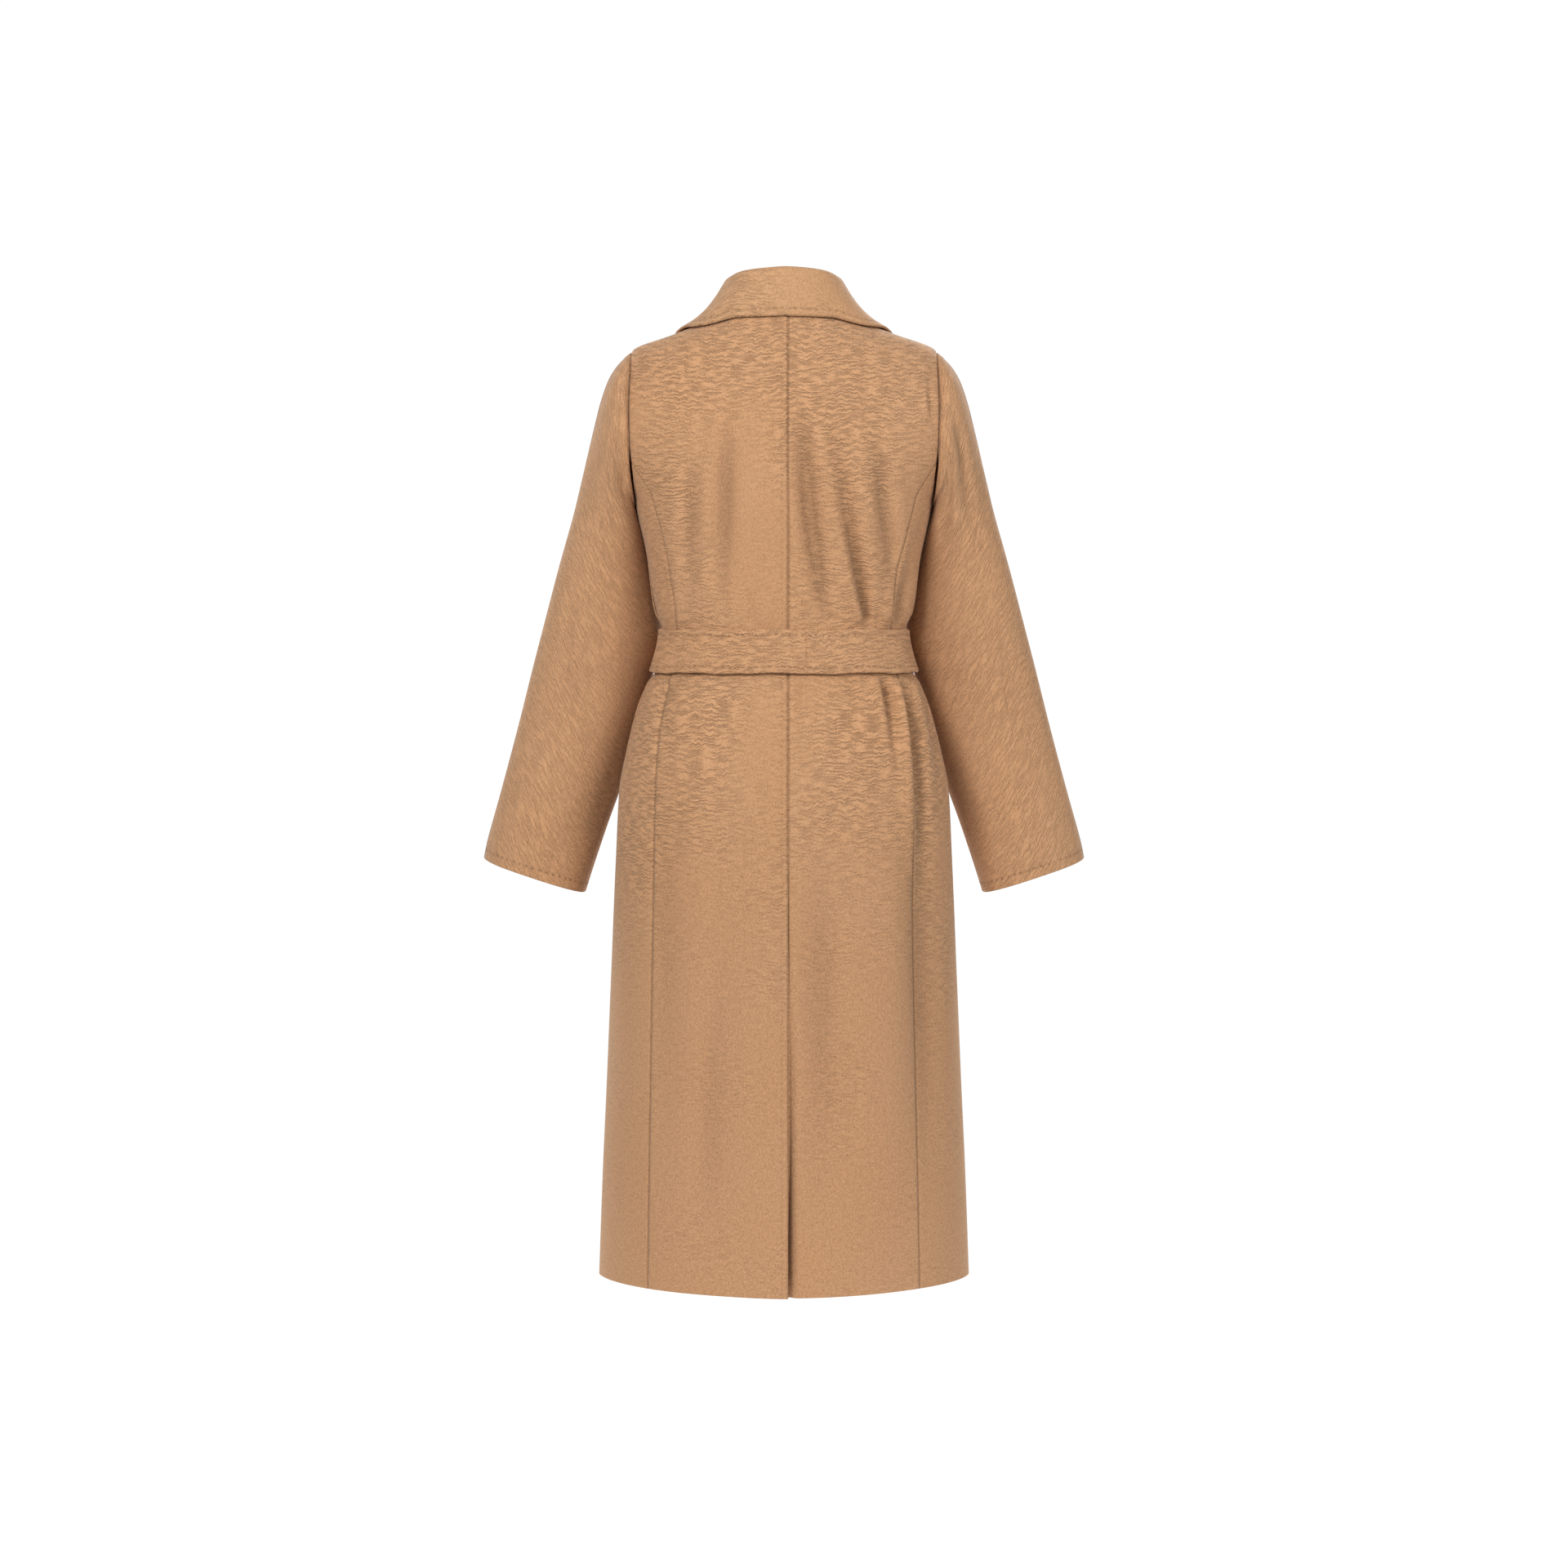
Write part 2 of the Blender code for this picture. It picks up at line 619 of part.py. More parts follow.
def sleeve_ring(row, turn):
    """One ring of the sleeve, through its outer and inner side."""
    outer = np.array([row["outer_x"], row["outer_y"], row["outer_z"]])
    inner = np.array([row["inner_x"], row["inner_y"], row["inner_z"]])
    reach = power(np.cos(turn), 2 / SLEEVE_SQUARE)[:, None] * (outer - inner) / 2
    deep = power(np.sin(turn), 2 / SLEEVE_SQUARE)[:, None] * np.array([0, row["half_depth"], 0])
    return (outer + inner) / 2 + reach + deep


def make_sleeve(collection, name, side, colour):
    """A one-piece sleeve, from the armhole to the cuff, open at both ends."""
    turn = np.arange(0, 2 * math.pi - ARMHOLE_STEP / 2, ARMHOLE_STEP)
    start, panel_out = armhole_loop(turn)
    rings = [start + np.array([1.5 * SEAM, 0, 0])]
    for i in range(len(SLEEVE["outer_x"])):
        rings.append(sleeve_ring({key: values[i] for key, values in SLEEVE.items()}, turn))
    outer = np.stack(rings)
    middle = outer.mean(axis=1, keepdims=True)
    out = tube_normals(outer, outer - middle)
    underarm = ease(0.1, 0.8, -np.cos(turn))[:, None]
    joined = panel_out * (1 - underarm) + out[1] * underarm
    out[0] = joined / np.linalg.norm(joined, axis=-1, keepdims=True)
    inner = outer - out * CLOTH
    mirror = np.array([side, 1, 1])
    outer, inner = outer * mirror, inner * mirror
    ends = ("_upper", "_lower")
    parted_wall(collection, name, SLEEVE_PARTED_AT, outer, inner, colour, ends, closed=True)


# ---------------------------------------------------------------- collar and lapels


def unit(vector):
    return vector / np.linalg.norm(vector)


def fold_over(foot, outward, up, rise, radius, thick, fall_way):
    """The stand and the fold of a turned-back edge: points of the cloth's face and of its underside.

    They run from where the fall starts, over the top and down inside to the foot.
    """
    centre = foot + up * (rise - radius)
    steep = -float(fall_way @ up)
    flat = float(fall_way @ outward)
    start = math.atan2(flat, steep)
    face, under = [], []
    for way in np.linspace(start, math.pi, 5):
        direction = outward * math.cos(way) + up * math.sin(way)
        face.append(centre + direction * radius)
        under.append(centre + direction * (radius - thick))
    for share in (0.5, 1.0):
        down = centre + (foot - centre) * share
        face.append(down - outward * radius)
        under.append(down - outward * (radius - thick))
    return face, under


def collar_section(degrees):
    """The neck part at one place: from the outer edge up the fall, over the fold and down inside."""
    angle = math.radians(degrees)
    row = {name: float(column(COLLAR, name, abs(degrees))) for name in COLLAR}
    up = np.array([0.0, 0.0, 1.0])
    neck = body_point(angle, NECK)
    outward = unit(np.array([neck[0], neck[1], 0.0]))
    foot = neck + outward * row["fold_out"] + up * LAP_GAP
    edge = on_body(angle, row["edge_level"], COLLAR_CLOTH + COLLAR_EDGE_GAP)
    top = foot + up * (row["rise"] - COLLAR_RADIUS) + outward * COLLAR_RADIUS
    fall_way = unit(edge - top)
    fold, fold_under = fold_over(
        foot, outward, up, row["rise"], COLLAR_RADIUS, COLLAR_CLOTH, fall_way
    )
    fall_out = outward * float(-fall_way @ up) + up * float(fall_way @ outward)
    face, under = [], []
    for share in spread(0, 1, 4)[:-1]:
        bulge = row["bulge"] * math.sin(math.pi * share)
        point = edge + (fold[0] - edge) * share + fall_out * bulge
        face.append(point)
        under.append(point - fall_out * COLLAR_CLOTH)
    return face + fold, under + fold_under


def make_collar(collection, name, colour):
    """The neck part of the collar: its stand, its fold and its fall, round the back."""
    reach = COLLAR["degrees"][-1]
    sections = [collar_section(degrees) for degrees in spread(-reach, reach, 24)]
    face = np.stack([section[0] for section in sections], axis=1)
    under = np.stack([section[1] for section in sections], axis=1)
    return wall(collection, name, face, under, colour)


def make_lapel(collection, name, side, over, colour):
    """A lapel, turned back over its front along the roll line, as a fall and a soft fold."""
    stations = np.arange(len(LAPEL["rise"]), dtype=float)
    length = np.cumsum(np.hypot(np.gradient(LAPEL["roll_past"]), np.gradient(LAPEL["roll_level"])))
    closer_at_top = length[0] + (length[-1] - length[0]) * spread(0, 1, LAPEL_ROWS) ** 1.55
    along = smooth(length, stations, closer_at_top)
    read = {key: smooth(stations, values, along) for key, values in LAPEL.items()}
    columns = spread(1, 0, LAPEL_COLUMNS)
    past = read["edge_past"] + (read["roll_past"] - read["edge_past"]) * (1 - columns)[:, None]
    level = read["edge_level"] + (read["roll_level"] - read["edge_level"]) * (1 - columns)[:, None]
    angle = angle_at_front(past, level)
    at_collar = math.radians(COLLAR["degrees"][-1])
    angle = angle + (at_collar - angle[:, :1]) * (1 - ease(0.0, 1.5, along))
    below = over_lift(angle, level) if over else 0.0 * angle
    mirrored = side * angle
    neck_like = 1 - ease(0.0, 2.5, along)
    face, under = [], []
    for j in range(len(along)):
        normal = body_normal(mirrored[-1, j], level[-1, j])
        up = unit(normal + (np.array([0.0, 0.0, 1.0]) - normal) * neck_like[j])
        roll = body_point(mirrored[-1, j], level[-1, j]) + normal * (below[-1, j] + LAPEL_FOOT_GAP)
        outward = on_body(mirrored[-2, j], level[-2, j], below[-2, j]) - roll
        outward = unit(outward - up * float(outward @ up))
        rise = read["rise"][j]
        radius = LAPEL_RADIUS + (COLLAR_RADIUS - LAPEL_RADIUS) * neck_like[j]
        thick = LAPEL_CLOTH + (COLLAR_CLOTH - LAPEL_CLOTH) * neck_like[j]
        foot = roll + outward * radius
        share = 1 - columns[:-1]
        spare = (rise + LAPEL_FOOT_GAP - LAPEL_GAP - thick) * ease(0.1, 1.0, share)
        lift = below[:-1, j] + LAPEL_GAP + thick + spare
        fall = on_body(mirrored[:-1, j], level[:-1, j], lift)
        fall_normal = body_normal(mirrored[:-1, j], level[:-1, j])
        fold, fold_under = fold_over(
            foot, outward, up, rise, radius, thick, unit(fall[-1] - foot - up * (rise - radius))
        )
        face.append(list(fall) + fold)
        under.append(list(fall - fall_normal * thick) + fold_under)
    face = np.array(face).transpose(1, 0, 2)
    under = np.array(under).transpose(1, 0, 2)
    face, under = trim(face, under, first=COLLAR_SEAM)
    return wall(collection, name, face, under, colour)


# ---------------------------------------------------------------- belt


def belt_lift(angle):
    """The belt's inner side clears the fronts and their lapels; the angle is from the back, by a side."""
    stack = OVER_CHEST + LAPEL_FOOT_GAP + LAPEL_RISE
    return LAP_GAP + stack * ease(math.radians(95), math.radians(133), np.abs(angle))


def make_belt(collection, name, start, end, colour):
    """A part of the belt round the waist between two angles, slightly thinner at its edges."""
    angles = spread(start, end, 26)
    levels = spread(BELT_BOTTOM + 0.0005, BELT_TOP - 0.0005, 3)
    angle, level = np.meshgrid(angles, levels)
    lift = belt_lift(angle)
    crown = np.array([0.75, 1.0, 1.0, 0.75])[:, None] * BELT_CLOTH
    outer = on_body(angle, level, lift + crown)
    inner = on_body(angle, level, lift)
    outer, inner = trim(outer, inner, first=SEAM / 2, last=SEAM / 2)
    return wall(collection, name, outer, inner, colour)


def make_knot(collection, name, colour):
    """The tie in front: a rounded pillow of folded belt, just off the belt below it."""
    across = KNOT_AT + KNOT_WIDTH * (spread(0, 1, 6) - 0.5)
    levels = spread(BELT_BOTTOM - 0.003, BELT_TOP + 0.003, 5)
    u, v = np.meshgrid(spread(-1, 1, 6), spread(-1, 1, 5))
    level = np.repeat(levels[:, None], len(across), axis=1)
    angle = angle_at_front(-across[None, :] + 0 * level, level)
    base = belt_lift(angle) + BELT_CLOTH + LAP_GAP
    pillow = ((1 - np.abs(u) ** 3) * (1 - np.abs(v) ** 3)) ** 0.5
    outer = on_body(angle, level, base + 0.005 + KNOT_DEPTH * pillow)
    inner = on_body(angle, level, base)
    return wall(collection, name, outer, inner, colour)


def make_tail(collection, name, top_across, end_across, lift_top, colour):
    """A free end of the belt, hanging from the knot down the over front."""
    top = BELT_BOTTOM - 0.0036
    share = spread(0, 1, 9)[:, None] ** 1.3
    level = top - TAIL_LENGTH * share[::-1] + 0 * spread(0, 1, 2)
    down = (top - level) / TAIL_LENGTH
    across = top_across + (end_across - top_across) * down
    across = across + TAIL_WIDTH * (spread(0, 1, 2) - 0.5)
    angle = angle_at_front(-across, level)
    lift = OVER_SKIRT + 0.0008 + lift_top * (1 - ease(0.0, 0.55, down))
    outer = on_body(angle, level, lift + BELT_CLOTH)
    inner = on_body(angle, level, lift)
    return wall(collection, name, outer, inner, colour)


# ---------------------------------------------------------------- the coat


CAMEL = (0.52, 0.29, 0.155)
CAMEL_SLEEVE = (0.50, 0.275, 0.145)
CAMEL_COLLAR = (0.57, 0.33, 0.18)
CAMEL_BELT = (0.51, 0.28, 0.15)


def main():
    clear_scene()
    coat = bpy.data.collections.new("wrap_coat")
    bpy.context.scene.collection.children.link(coat)
    for side, word in ((1, "left"), (-1, "right")):
        over = word == "right"
        make_back(coat, "back_" + word, side, CAMEL)
        make_side_back(coat, "side_back_" + word, side, CAMEL)
        make_front(coat, "front_" + word, side, over, CAMEL)
        make_sleeve(coat, "sleeve_" + word, side, CAMEL_SLEEVE)
        make_lapel(coat, "lapel_" + word, side, over, CAMEL_COLLAR)
    make_underlap(coat, "vent_underlap", CAMEL)
    make_collar(coat, "collar_neck", CAMEL_COLLAR)
    middle = 0.5 * (BELT_BOTTOM + BELT_TOP)
    join = float(angle_at_back(BELT_JOIN, middle))
    meet = float(angle_at_front(-KNOT_AT, middle))
    make_belt(coat, "belt_left", join, meet, CAMEL_BELT)
    make_belt(coat, "belt_right", join, meet - 2 * math.pi, CAMEL_BELT)
    make_knot(coat, "belt_knot", CAMEL_BELT)
    make_tail(coat, "belt_end_right", 0.006, -0.030, 0.0085, CAMEL_BELT)
    make_tail(coat, "belt_end_left", 0.046, 0.092, 0.0145, CAMEL_BELT)


main()
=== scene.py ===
"""The looks of the wool wrap coat, as thin sheets of cloth on the forms of its solids.

Metres, +Z up. The front faces -Y and the wearer's left is +X. Z = 0 is the neck seam at the nape.

The body is one family of rings. A ring is named by its level, its height at the side of the body.
An angle goes round it from the centre back (0), by a side (90), to the centre front (180).
"""

import math

import bpy
import numpy as np
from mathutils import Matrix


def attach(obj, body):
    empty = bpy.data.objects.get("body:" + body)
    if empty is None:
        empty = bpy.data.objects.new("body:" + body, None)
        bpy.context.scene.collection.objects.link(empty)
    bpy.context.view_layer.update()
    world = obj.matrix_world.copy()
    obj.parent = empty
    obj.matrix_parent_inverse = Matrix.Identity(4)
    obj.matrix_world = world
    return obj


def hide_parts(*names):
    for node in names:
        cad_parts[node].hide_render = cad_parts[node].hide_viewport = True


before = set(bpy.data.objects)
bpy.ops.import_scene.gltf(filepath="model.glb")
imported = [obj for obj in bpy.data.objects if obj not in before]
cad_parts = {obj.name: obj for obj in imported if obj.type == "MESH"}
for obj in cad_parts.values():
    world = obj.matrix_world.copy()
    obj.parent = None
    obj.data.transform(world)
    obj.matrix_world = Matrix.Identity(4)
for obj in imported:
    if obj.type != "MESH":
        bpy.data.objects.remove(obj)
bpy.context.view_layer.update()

# Cloth and seams
CLOTH = 0.0022
COLLAR_CLOTH = 0.0028
LAPEL_CLOTH = 0.0020
BELT_CLOTH = 0.0040
SEAM = 0.0003
LAP_GAP = 0.0006
LAPEL_GAP = 0.0026
LAPEL_FOOT_GAP = 0.0014

# Heights of the cut, at the side of the body
HEM = -1.187
VENT_TOP = -0.666
BELT_BOTTOM = -0.452
BELT_TOP = -0.398
UNDERARM = -0.240
SHOULDER = -0.059
NECK = -0.011

# Armhole oval, sleeve and vent
ARMHOLE_BACK = 0.074
ARMHOLE_FRONT = 0.062
ARMHOLE_STEP = math.radians(3)
NOTCH_TURN = math.radians(120)
PRINCESS_NOTCH = UNDERARM + (SHOULDER - UNDERARM) * (1 + math.cos(NOTCH_TURN)) / 2
UNDERLAP = 0.052
UNDERLAP_SLOPE = 0.35
VENT_LIFT = 0.0045
VENT_LIFT_FROM = -0.86
SLEEVE_SQUARE = 2.1

# How far the over front stands off the body, with the other front below it, or that and its lapel
OVER_SKIRT = 0.0034
LAPEL_RISE = 0.0054
OVER_CHEST = LAPEL_FOOT_GAP + LAPEL_RISE + 3 * LAP_GAP + CLOTH
OVER_FROM, OVER_TO = math.radians(117), math.radians(138)
BELT_JOIN = -0.027
BACK_SEAM = -0.0049
BELT_CLEAR, BELT_EASE = 0.003, 0.014
KNOT_AT, KNOT_WIDTH, KNOT_DEPTH = 0.022, 0.060, 0.026
KNOT_WAIST, KNOT_TALLER, KNOT_RIM, KNOT_CLOTH = 0.10, 0.003, 0.005, 0.004
KNOT_COLUMNS, KNOT_ROWS = 61, 57
TAIL_LENGTH = 0.45
TAIL_WIDTH = 0.050
TAIL_BELOW, TAIL_GATHER, TAIL_STANDS = 0.0036, 0.28, 0.0008
TAIL_SWAY, TAIL_FLUTE, TAIL_FULL = 0.0016, 0.0022, 0.0016


def table(columns, *rows):
    """A table with named columns, as a dictionary of arrays."""
    return {name: np.array([row[i] for row in rows]) for i, name in enumerate(columns.split())}


def each_row(rows):
    """The rows of a table one by one, each as a dictionary."""
    return [dict(zip(rows, values)) for values in zip(*rows.values())]


# One row for each ring of the body, from the hem to the neck seam.
RINGS = table(
    "level half_width back_depth front_depth back_rise front_rise square",
    (HEM, 0.2265, 0.170, 0.155, 0.000, 0.000, 1.72),
    (-1.060, 0.2220, 0.165, 0.150, 0.000, 0.000, 1.78),
    (-0.940, 0.2165, 0.160, 0.145, 0.000, 0.000, 1.85),
    (-0.820, 0.2115, 0.156, 0.141, 0.000, 0.000, 1.93),
    (-0.675, 0.2055, 0.150, 0.137, 0.000, 0.000, 2.05),
    (-0.590, 0.2010, 0.143, 0.133, 0.000, 0.000, 2.15),
    (-0.550, 0.1930, 0.136, 0.128, 0.000, 0.000, 2.2),
    (-0.500, 0.1800, 0.124, 0.119, 0.000, 0.000, 2.2),
    (-0.468, 0.1680, 0.111, 0.111, 0.000, 0.000, 2.2),
    (BELT_BOTTOM, 0.1615, 0.106, 0.107, 0.000, 0.000, 2.2),
    (BELT_TOP, 0.1495, 0.103, 0.106, 0.000, 0.000, 2.2),
    (-0.375, 0.1565, 0.106, 0.1085, 0.000, 0.000, 2.2),
    (-0.306, 0.1680, 0.113, 0.1190, 0.000, 0.000, 2.3),
    (UNDERARM, 0.1820, 0.120, 0.133, 0.000, 0.000, 2.4),
    (-0.150, 0.1870, 0.1195, 0.128, -0.028, -0.038, 2.4),
    (SHOULDER, 0.1860, 0.113, 0.116, -0.070, -0.085, 2.3),
    (-0.035, 0.1270, 0.098, 0.093, -0.036, -0.060, 2.4),
    (NECK, 0.0750, 0.066, 0.052, 0.009, -0.022, 2.0),
)

YOKE_ROUND = 0.018

# How far out the armhole's edge is, from the underarm (0) to the shoulder point (1).
ARMHOLE_EDGE = table(
    "share reach",
    (0.00, 0.1820),
    (0.15, 0.1840),
    (0.40, 0.1870),
    (0.75, 0.1880),
    (1.00, 0.1860),
)

# The seam between a back and its side back, as its distance from the centre back.
PRINCESS = table(
    "level across",
    (HEM, 0.163),
    (-0.620, 0.156),
    (-0.530, 0.152),
    (BELT_BOTTOM, 0.139),
    (BELT_TOP, 0.130),
    (-0.320, 0.139),
    (-0.277, 0.148),
)

# How far a front reaches past the centre front: its edge in the skirt, its roll line above the belt.
WRAP = table(
    "level past",
    (HEM, 0.112),
    (-0.700, 0.108),
    (BELT_BOTTOM, 0.104),
    (-0.398, 0.098),
    (-0.300, 0.055),
    (-0.178, 0.010),
    (SHOULDER, -0.016),
    (-0.035, -0.038),
    (-0.020, -0.057),
    (NECK, -0.0714),
)

# The lapel, from the shoulder down to the belt: its fold and its outer edge, and the fold's height.
LAPEL = table(
    "roll_past roll_level edge_past edge_level rise",
    (-0.0714, -0.0110, -0.1330, -0.0395, 0.0230),
    (-0.0570, -0.0200, -0.1460, -0.0620, 0.0190),
    (-0.0380, -0.0350, -0.1490, -0.1050, 0.0130),
    (-0.0160, -0.0590, -0.1430, -0.1620, 0.0075),
    (0.0070, -0.1650, -0.1150, -0.2350, LAPEL_RISE),
    (0.0450, -0.2760, -0.0650, -0.3200, LAPEL_RISE),
    (0.0940, -0.3900, 0.0350, -0.4150, LAPEL_RISE),
)

# The neck part of the collar round one half of the neck: its fold line, outer edge and fullness.
COLLAR = table(
    "degrees fold_out rise edge_level bulge",
    (0, 0.0040, 0.0410, -0.0180, 0.0015),
    (35, 0.0030, 0.0400, -0.0195, 0.0012),
    (65, -0.0020, 0.0365, -0.0290, -0.0025),
    (90, -0.0050, 0.0295, -0.0350, -0.0055),
    (108, -0.0040, 0.0230, -0.0395, -0.0055),
)
COLLAR_RADIUS = 0.0052
COLLAR_EDGE_GAP = 0.0014
COLLAR_SEAM = 0.0009
LAPEL_RADIUS = 0.0023
LAPEL_COLUMNS = 5

# Sleeve rings below the armhole, in the wearer's left sleeve: outer and inner side, front-back place.
SLEEVE = table(
    "outer_x outer_z inner_x inner_z outer_y inner_y half_depth",
    (0.1990, -0.0710, 0.1850, -0.2415, 0.006, 0.005, 0.0715),
    (0.2130, -0.0910, 0.1875, -0.2450, 0.005, 0.001, 0.0740),
    (0.2240, -0.1200, 0.1865, -0.2520, 0.003, -0.008, 0.0750),
    (0.2350, -0.1620, 0.1810, -0.2650, 0.001, -0.019, 0.0745),
    (0.2470, -0.2110, 0.1705, -0.2880, -0.002, -0.033, 0.0735),
    (0.2610, -0.2680, 0.1630, -0.3220, -0.006, -0.048, 0.0715),
    (0.2765, -0.3260, 0.1555, -0.3660, -0.010, -0.060, 0.0695),
    (0.2920, -0.3860, 0.1540, -0.4150, -0.016, -0.066, 0.0675),
    (0.3090, -0.4480, 0.1660, -0.4680, -0.030, -0.068, 0.0655),
    (0.3250, -0.5060, 0.1815, -0.5220, -0.045, -0.066, 0.0638),
    (0.3405, -0.5600, 0.1990, -0.5830, -0.056, -0.064, 0.0620),
    (0.3560, -0.6150, 0.2190, -0.6400, -0.060, -0.062, 0.0600),
    (0.3680, -0.6600, 0.2370, -0.6960, -0.062, -0.062, 0.0580),
    (0.3725, -0.6830, 0.2460, -0.7250, -0.063, -0.063, 0.0575),
)

# Cloth as it is drawn here: spacing of its points, its rounded edges and its seams' furrows
ROW_STEP, COLUMN_STEP, COLLAR_STEP = 0.0046, 0.0034, 0.0036
EDGE_STEPS = (0.0, 0.0004, 0.0010, 0.0019, 0.0032)
EDGE_ROUND = 0.62
SEAM_DIP, SEAM_DIP_WIDTH = 0.0015, 0.0016
COLLAR_PLUMP = 0.0007
SLEEVE_STEP, SLEEVE_HEAD = math.radians(3), 0.012
VENT_LIFT_REACH = 0.075
VENT_TUCK, VENT_TUCK_REACH, VENT_FROM = 0.0100, 0.012, -0.68
VENT_TUCK_WHOLE = HEM + 0.12
UNDERLAP_SHORTER, UNDERLAP_BEHIND, UNDERLAP_HELD = 0.002, 0.003, (0.02, 0.05)
BELT_PRESS, BELT_SHADE, BELT_SHADE_WIDTH = 0.93, 0.0030, 0.0055
BELT_TRIM, BELT_STEP, TAIL_STEP = 0.0005, 0.004, 0.005
VENT_STITCH_TOP, VENT_PITCH = -0.672, 0.0075
STITCH_LENGTH, STITCH_RADIUS = 0.0026, 0.00042

# Rough lengths along the cloth, which set how many points it gets
BACK_WIDTH, SIDE_BACK_WIDTH, FRONT_WIDTH = 0.20, 0.10, 0.38
YOKE_LENGTH, CHEST_LENGTH = 0.12, 0.16
YOKE_CLOSER, LAPEL_CLOSER = 1.25, 1.55
COLLAR_LENGTH, LAPEL_LENGTH, BELT_LENGTH = 0.32, 0.47, 0.48
SLEEVE_ROUND = 0.42

# Linear colours of the cloth
BODY_COLOUR = (0.462, 0.250, 0.1265)
# Painted light: the collar and lapels use a lighter copy of the body's wool.
COLLAR_COLOUR = (0.482, 0.269, 0.138)
BELT_COLOUR = (0.455, 0.246, 0.124)
THREAD_COLOUR = (0.270, 0.138, 0.066)

# Creases that the cloth is drawn in by, each down a line from its top to its end.
CREASE_COLUMNS = "top end top_at end_at bow depth width peak pinch ridge"
BACK_CREASES = table(
    CREASE_COLUMNS,
    (-0.085, -0.460, -0.0225, -0.0725, 0.0150, 0.0112, 0.0092, 0.45, 0.20, 0.45),
    (-0.100, -0.435, -0.0560, -0.1140, 0.0070, 0.0124, 0.0080, 0.80, 0.75, 0.55),
    (-0.350, -0.424, -0.1090, -0.1190, 0.0000, 0.0085, 0.0036, 0.75, 0.40, 0.60),
    (-0.130, -0.400, -0.1070, -0.1430, 0.0020, 0.0084, 0.0080, 0.45, 0.10, 0.40),
    (-0.250, -0.420, -0.1670, -0.1290, 0.0000, 0.0042, 0.0060, 0.70, 0.30, 0.60),
    (-0.300, -0.420, -0.1560, -0.1340, 0.0000, 0.0036, 0.0045, 0.70, 0.30, 0.50),
    (-0.076, -0.152, -0.1775, -0.1790, 0.0020, 0.0030, 0.0030, 0.70, 0.20, 0.70),
    (-0.090, -0.420, 0.0660, 0.0810, -0.0020, 0.0072, 0.0088, 0.45, 0.10, 0.40),
    (-0.150, -0.400, 0.1080, 0.1180, 0.0020, 0.0056, 0.0088, 0.45, 0.10, 0.35),
    (-0.340, -0.420, 0.0385, 0.0400, 0.0000, 0.0034, 0.0046, 0.70, 0.30, 0.50),
    (-0.345, -0.420, 0.0110, 0.0090, 0.0000, 0.0024, 0.0050, 0.70, 0.30, 0.40),
    (-0.330, -0.430, 0.0960, 0.1000, 0.0000, 0.0022, 0.0060, 0.70, 0.20, 0.40),
    (-0.070, -0.440, 0.0260, 0.0240, 0.0000, -0.0036, 0.0200, 0.50, 0.00, 0.20),
    (-0.440, -0.590, -0.1180, -0.1440, 0.0000, 0.0100, 0.0050, 0.14, 0.00, 0.70),
    (-0.440, -0.720, -0.1430, -0.1670, -0.0080, 0.0120, 0.0062, 0.25, 0.10, 0.80),
    (-0.455, -0.610, -0.1660, -0.1900, -0.0030, 0.0040, 0.0052, 0.40, 0.10, 0.50),
    (-0.430, -0.560, 0.1350, 0.1450, 0.0030, 0.0032, 0.0080, 0.30, 0.00, 0.40),
    (-0.430, -0.560, -0.0230, -0.0240, 0.0000, 0.0034, 0.0060, 0.20, 0.00, 0.40),
    (-0.430, -0.540, -0.0800, -0.0860, 0.0000, 0.0024, 0.0060, 0.20, 0.00, 0.40),
    (-0.430, -0.600, 0.0700, 0.0780, 0.0000, 0.0020, 0.0100, 0.25, 0.00, 0.30),
    (-0.450, -1.180, 0.0240, 0.0260, 0.0000, -0.0036, 0.0230, 0.45, 0.00, 0.20),
    (-0.560, -1.180, -0.0420, -0.0480, 0.0000, 0.0034, 0.0170, 0.45, 0.00, 0.30),
    (-0.640, -1.180, -0.1080, -0.1220, 0.0000, -0.0036, 0.0190, 0.45, 0.00, 0.20),
    (-0.540, -1.150, -0.1570, -0.1700, 0.0000, 0.0058, 0.0130, 0.35, 0.00, 0.30),
    (-0.460, -1.150, 0.1400, 0.1450, 0.0000, 0.0034, 0.0150, 0.45, 0.00, 0.20),
    (-0.700, -1.180, 0.0800, 0.0960, 0.0000, 0.0034, 0.0150, 0.60, 0.00, 0.20),
)
FRONT_CREASES = table(
    CREASE_COLUMNS,
    (-0.280, -0.396, 0.1560, 0.1340, 0.0020, 0.0045, 0.0090, 0.80, 0.30, 0.50),
    (-0.300, -0.396, 0.1180, 0.1080, 0.0010, 0.0030, 0.0080, 0.85, 0.30, 0.40),
    (-0.452, -0.640, 0.1380, 0.1640, 0.0040, 0.0056, 0.0090, 0.30, 0.00, 0.60),
    (-0.452, -0.600, 0.0920, 0.1050, 0.0000, 0.0030, 0.0110, 0.25, 0.00, 0.40),
)
# Creases end towards the side seam, and under the other front
SIDE_CREASES_END, FRONT_CREASES_END = (0.6, 1.0), (math.radians(165), math.radians(172))
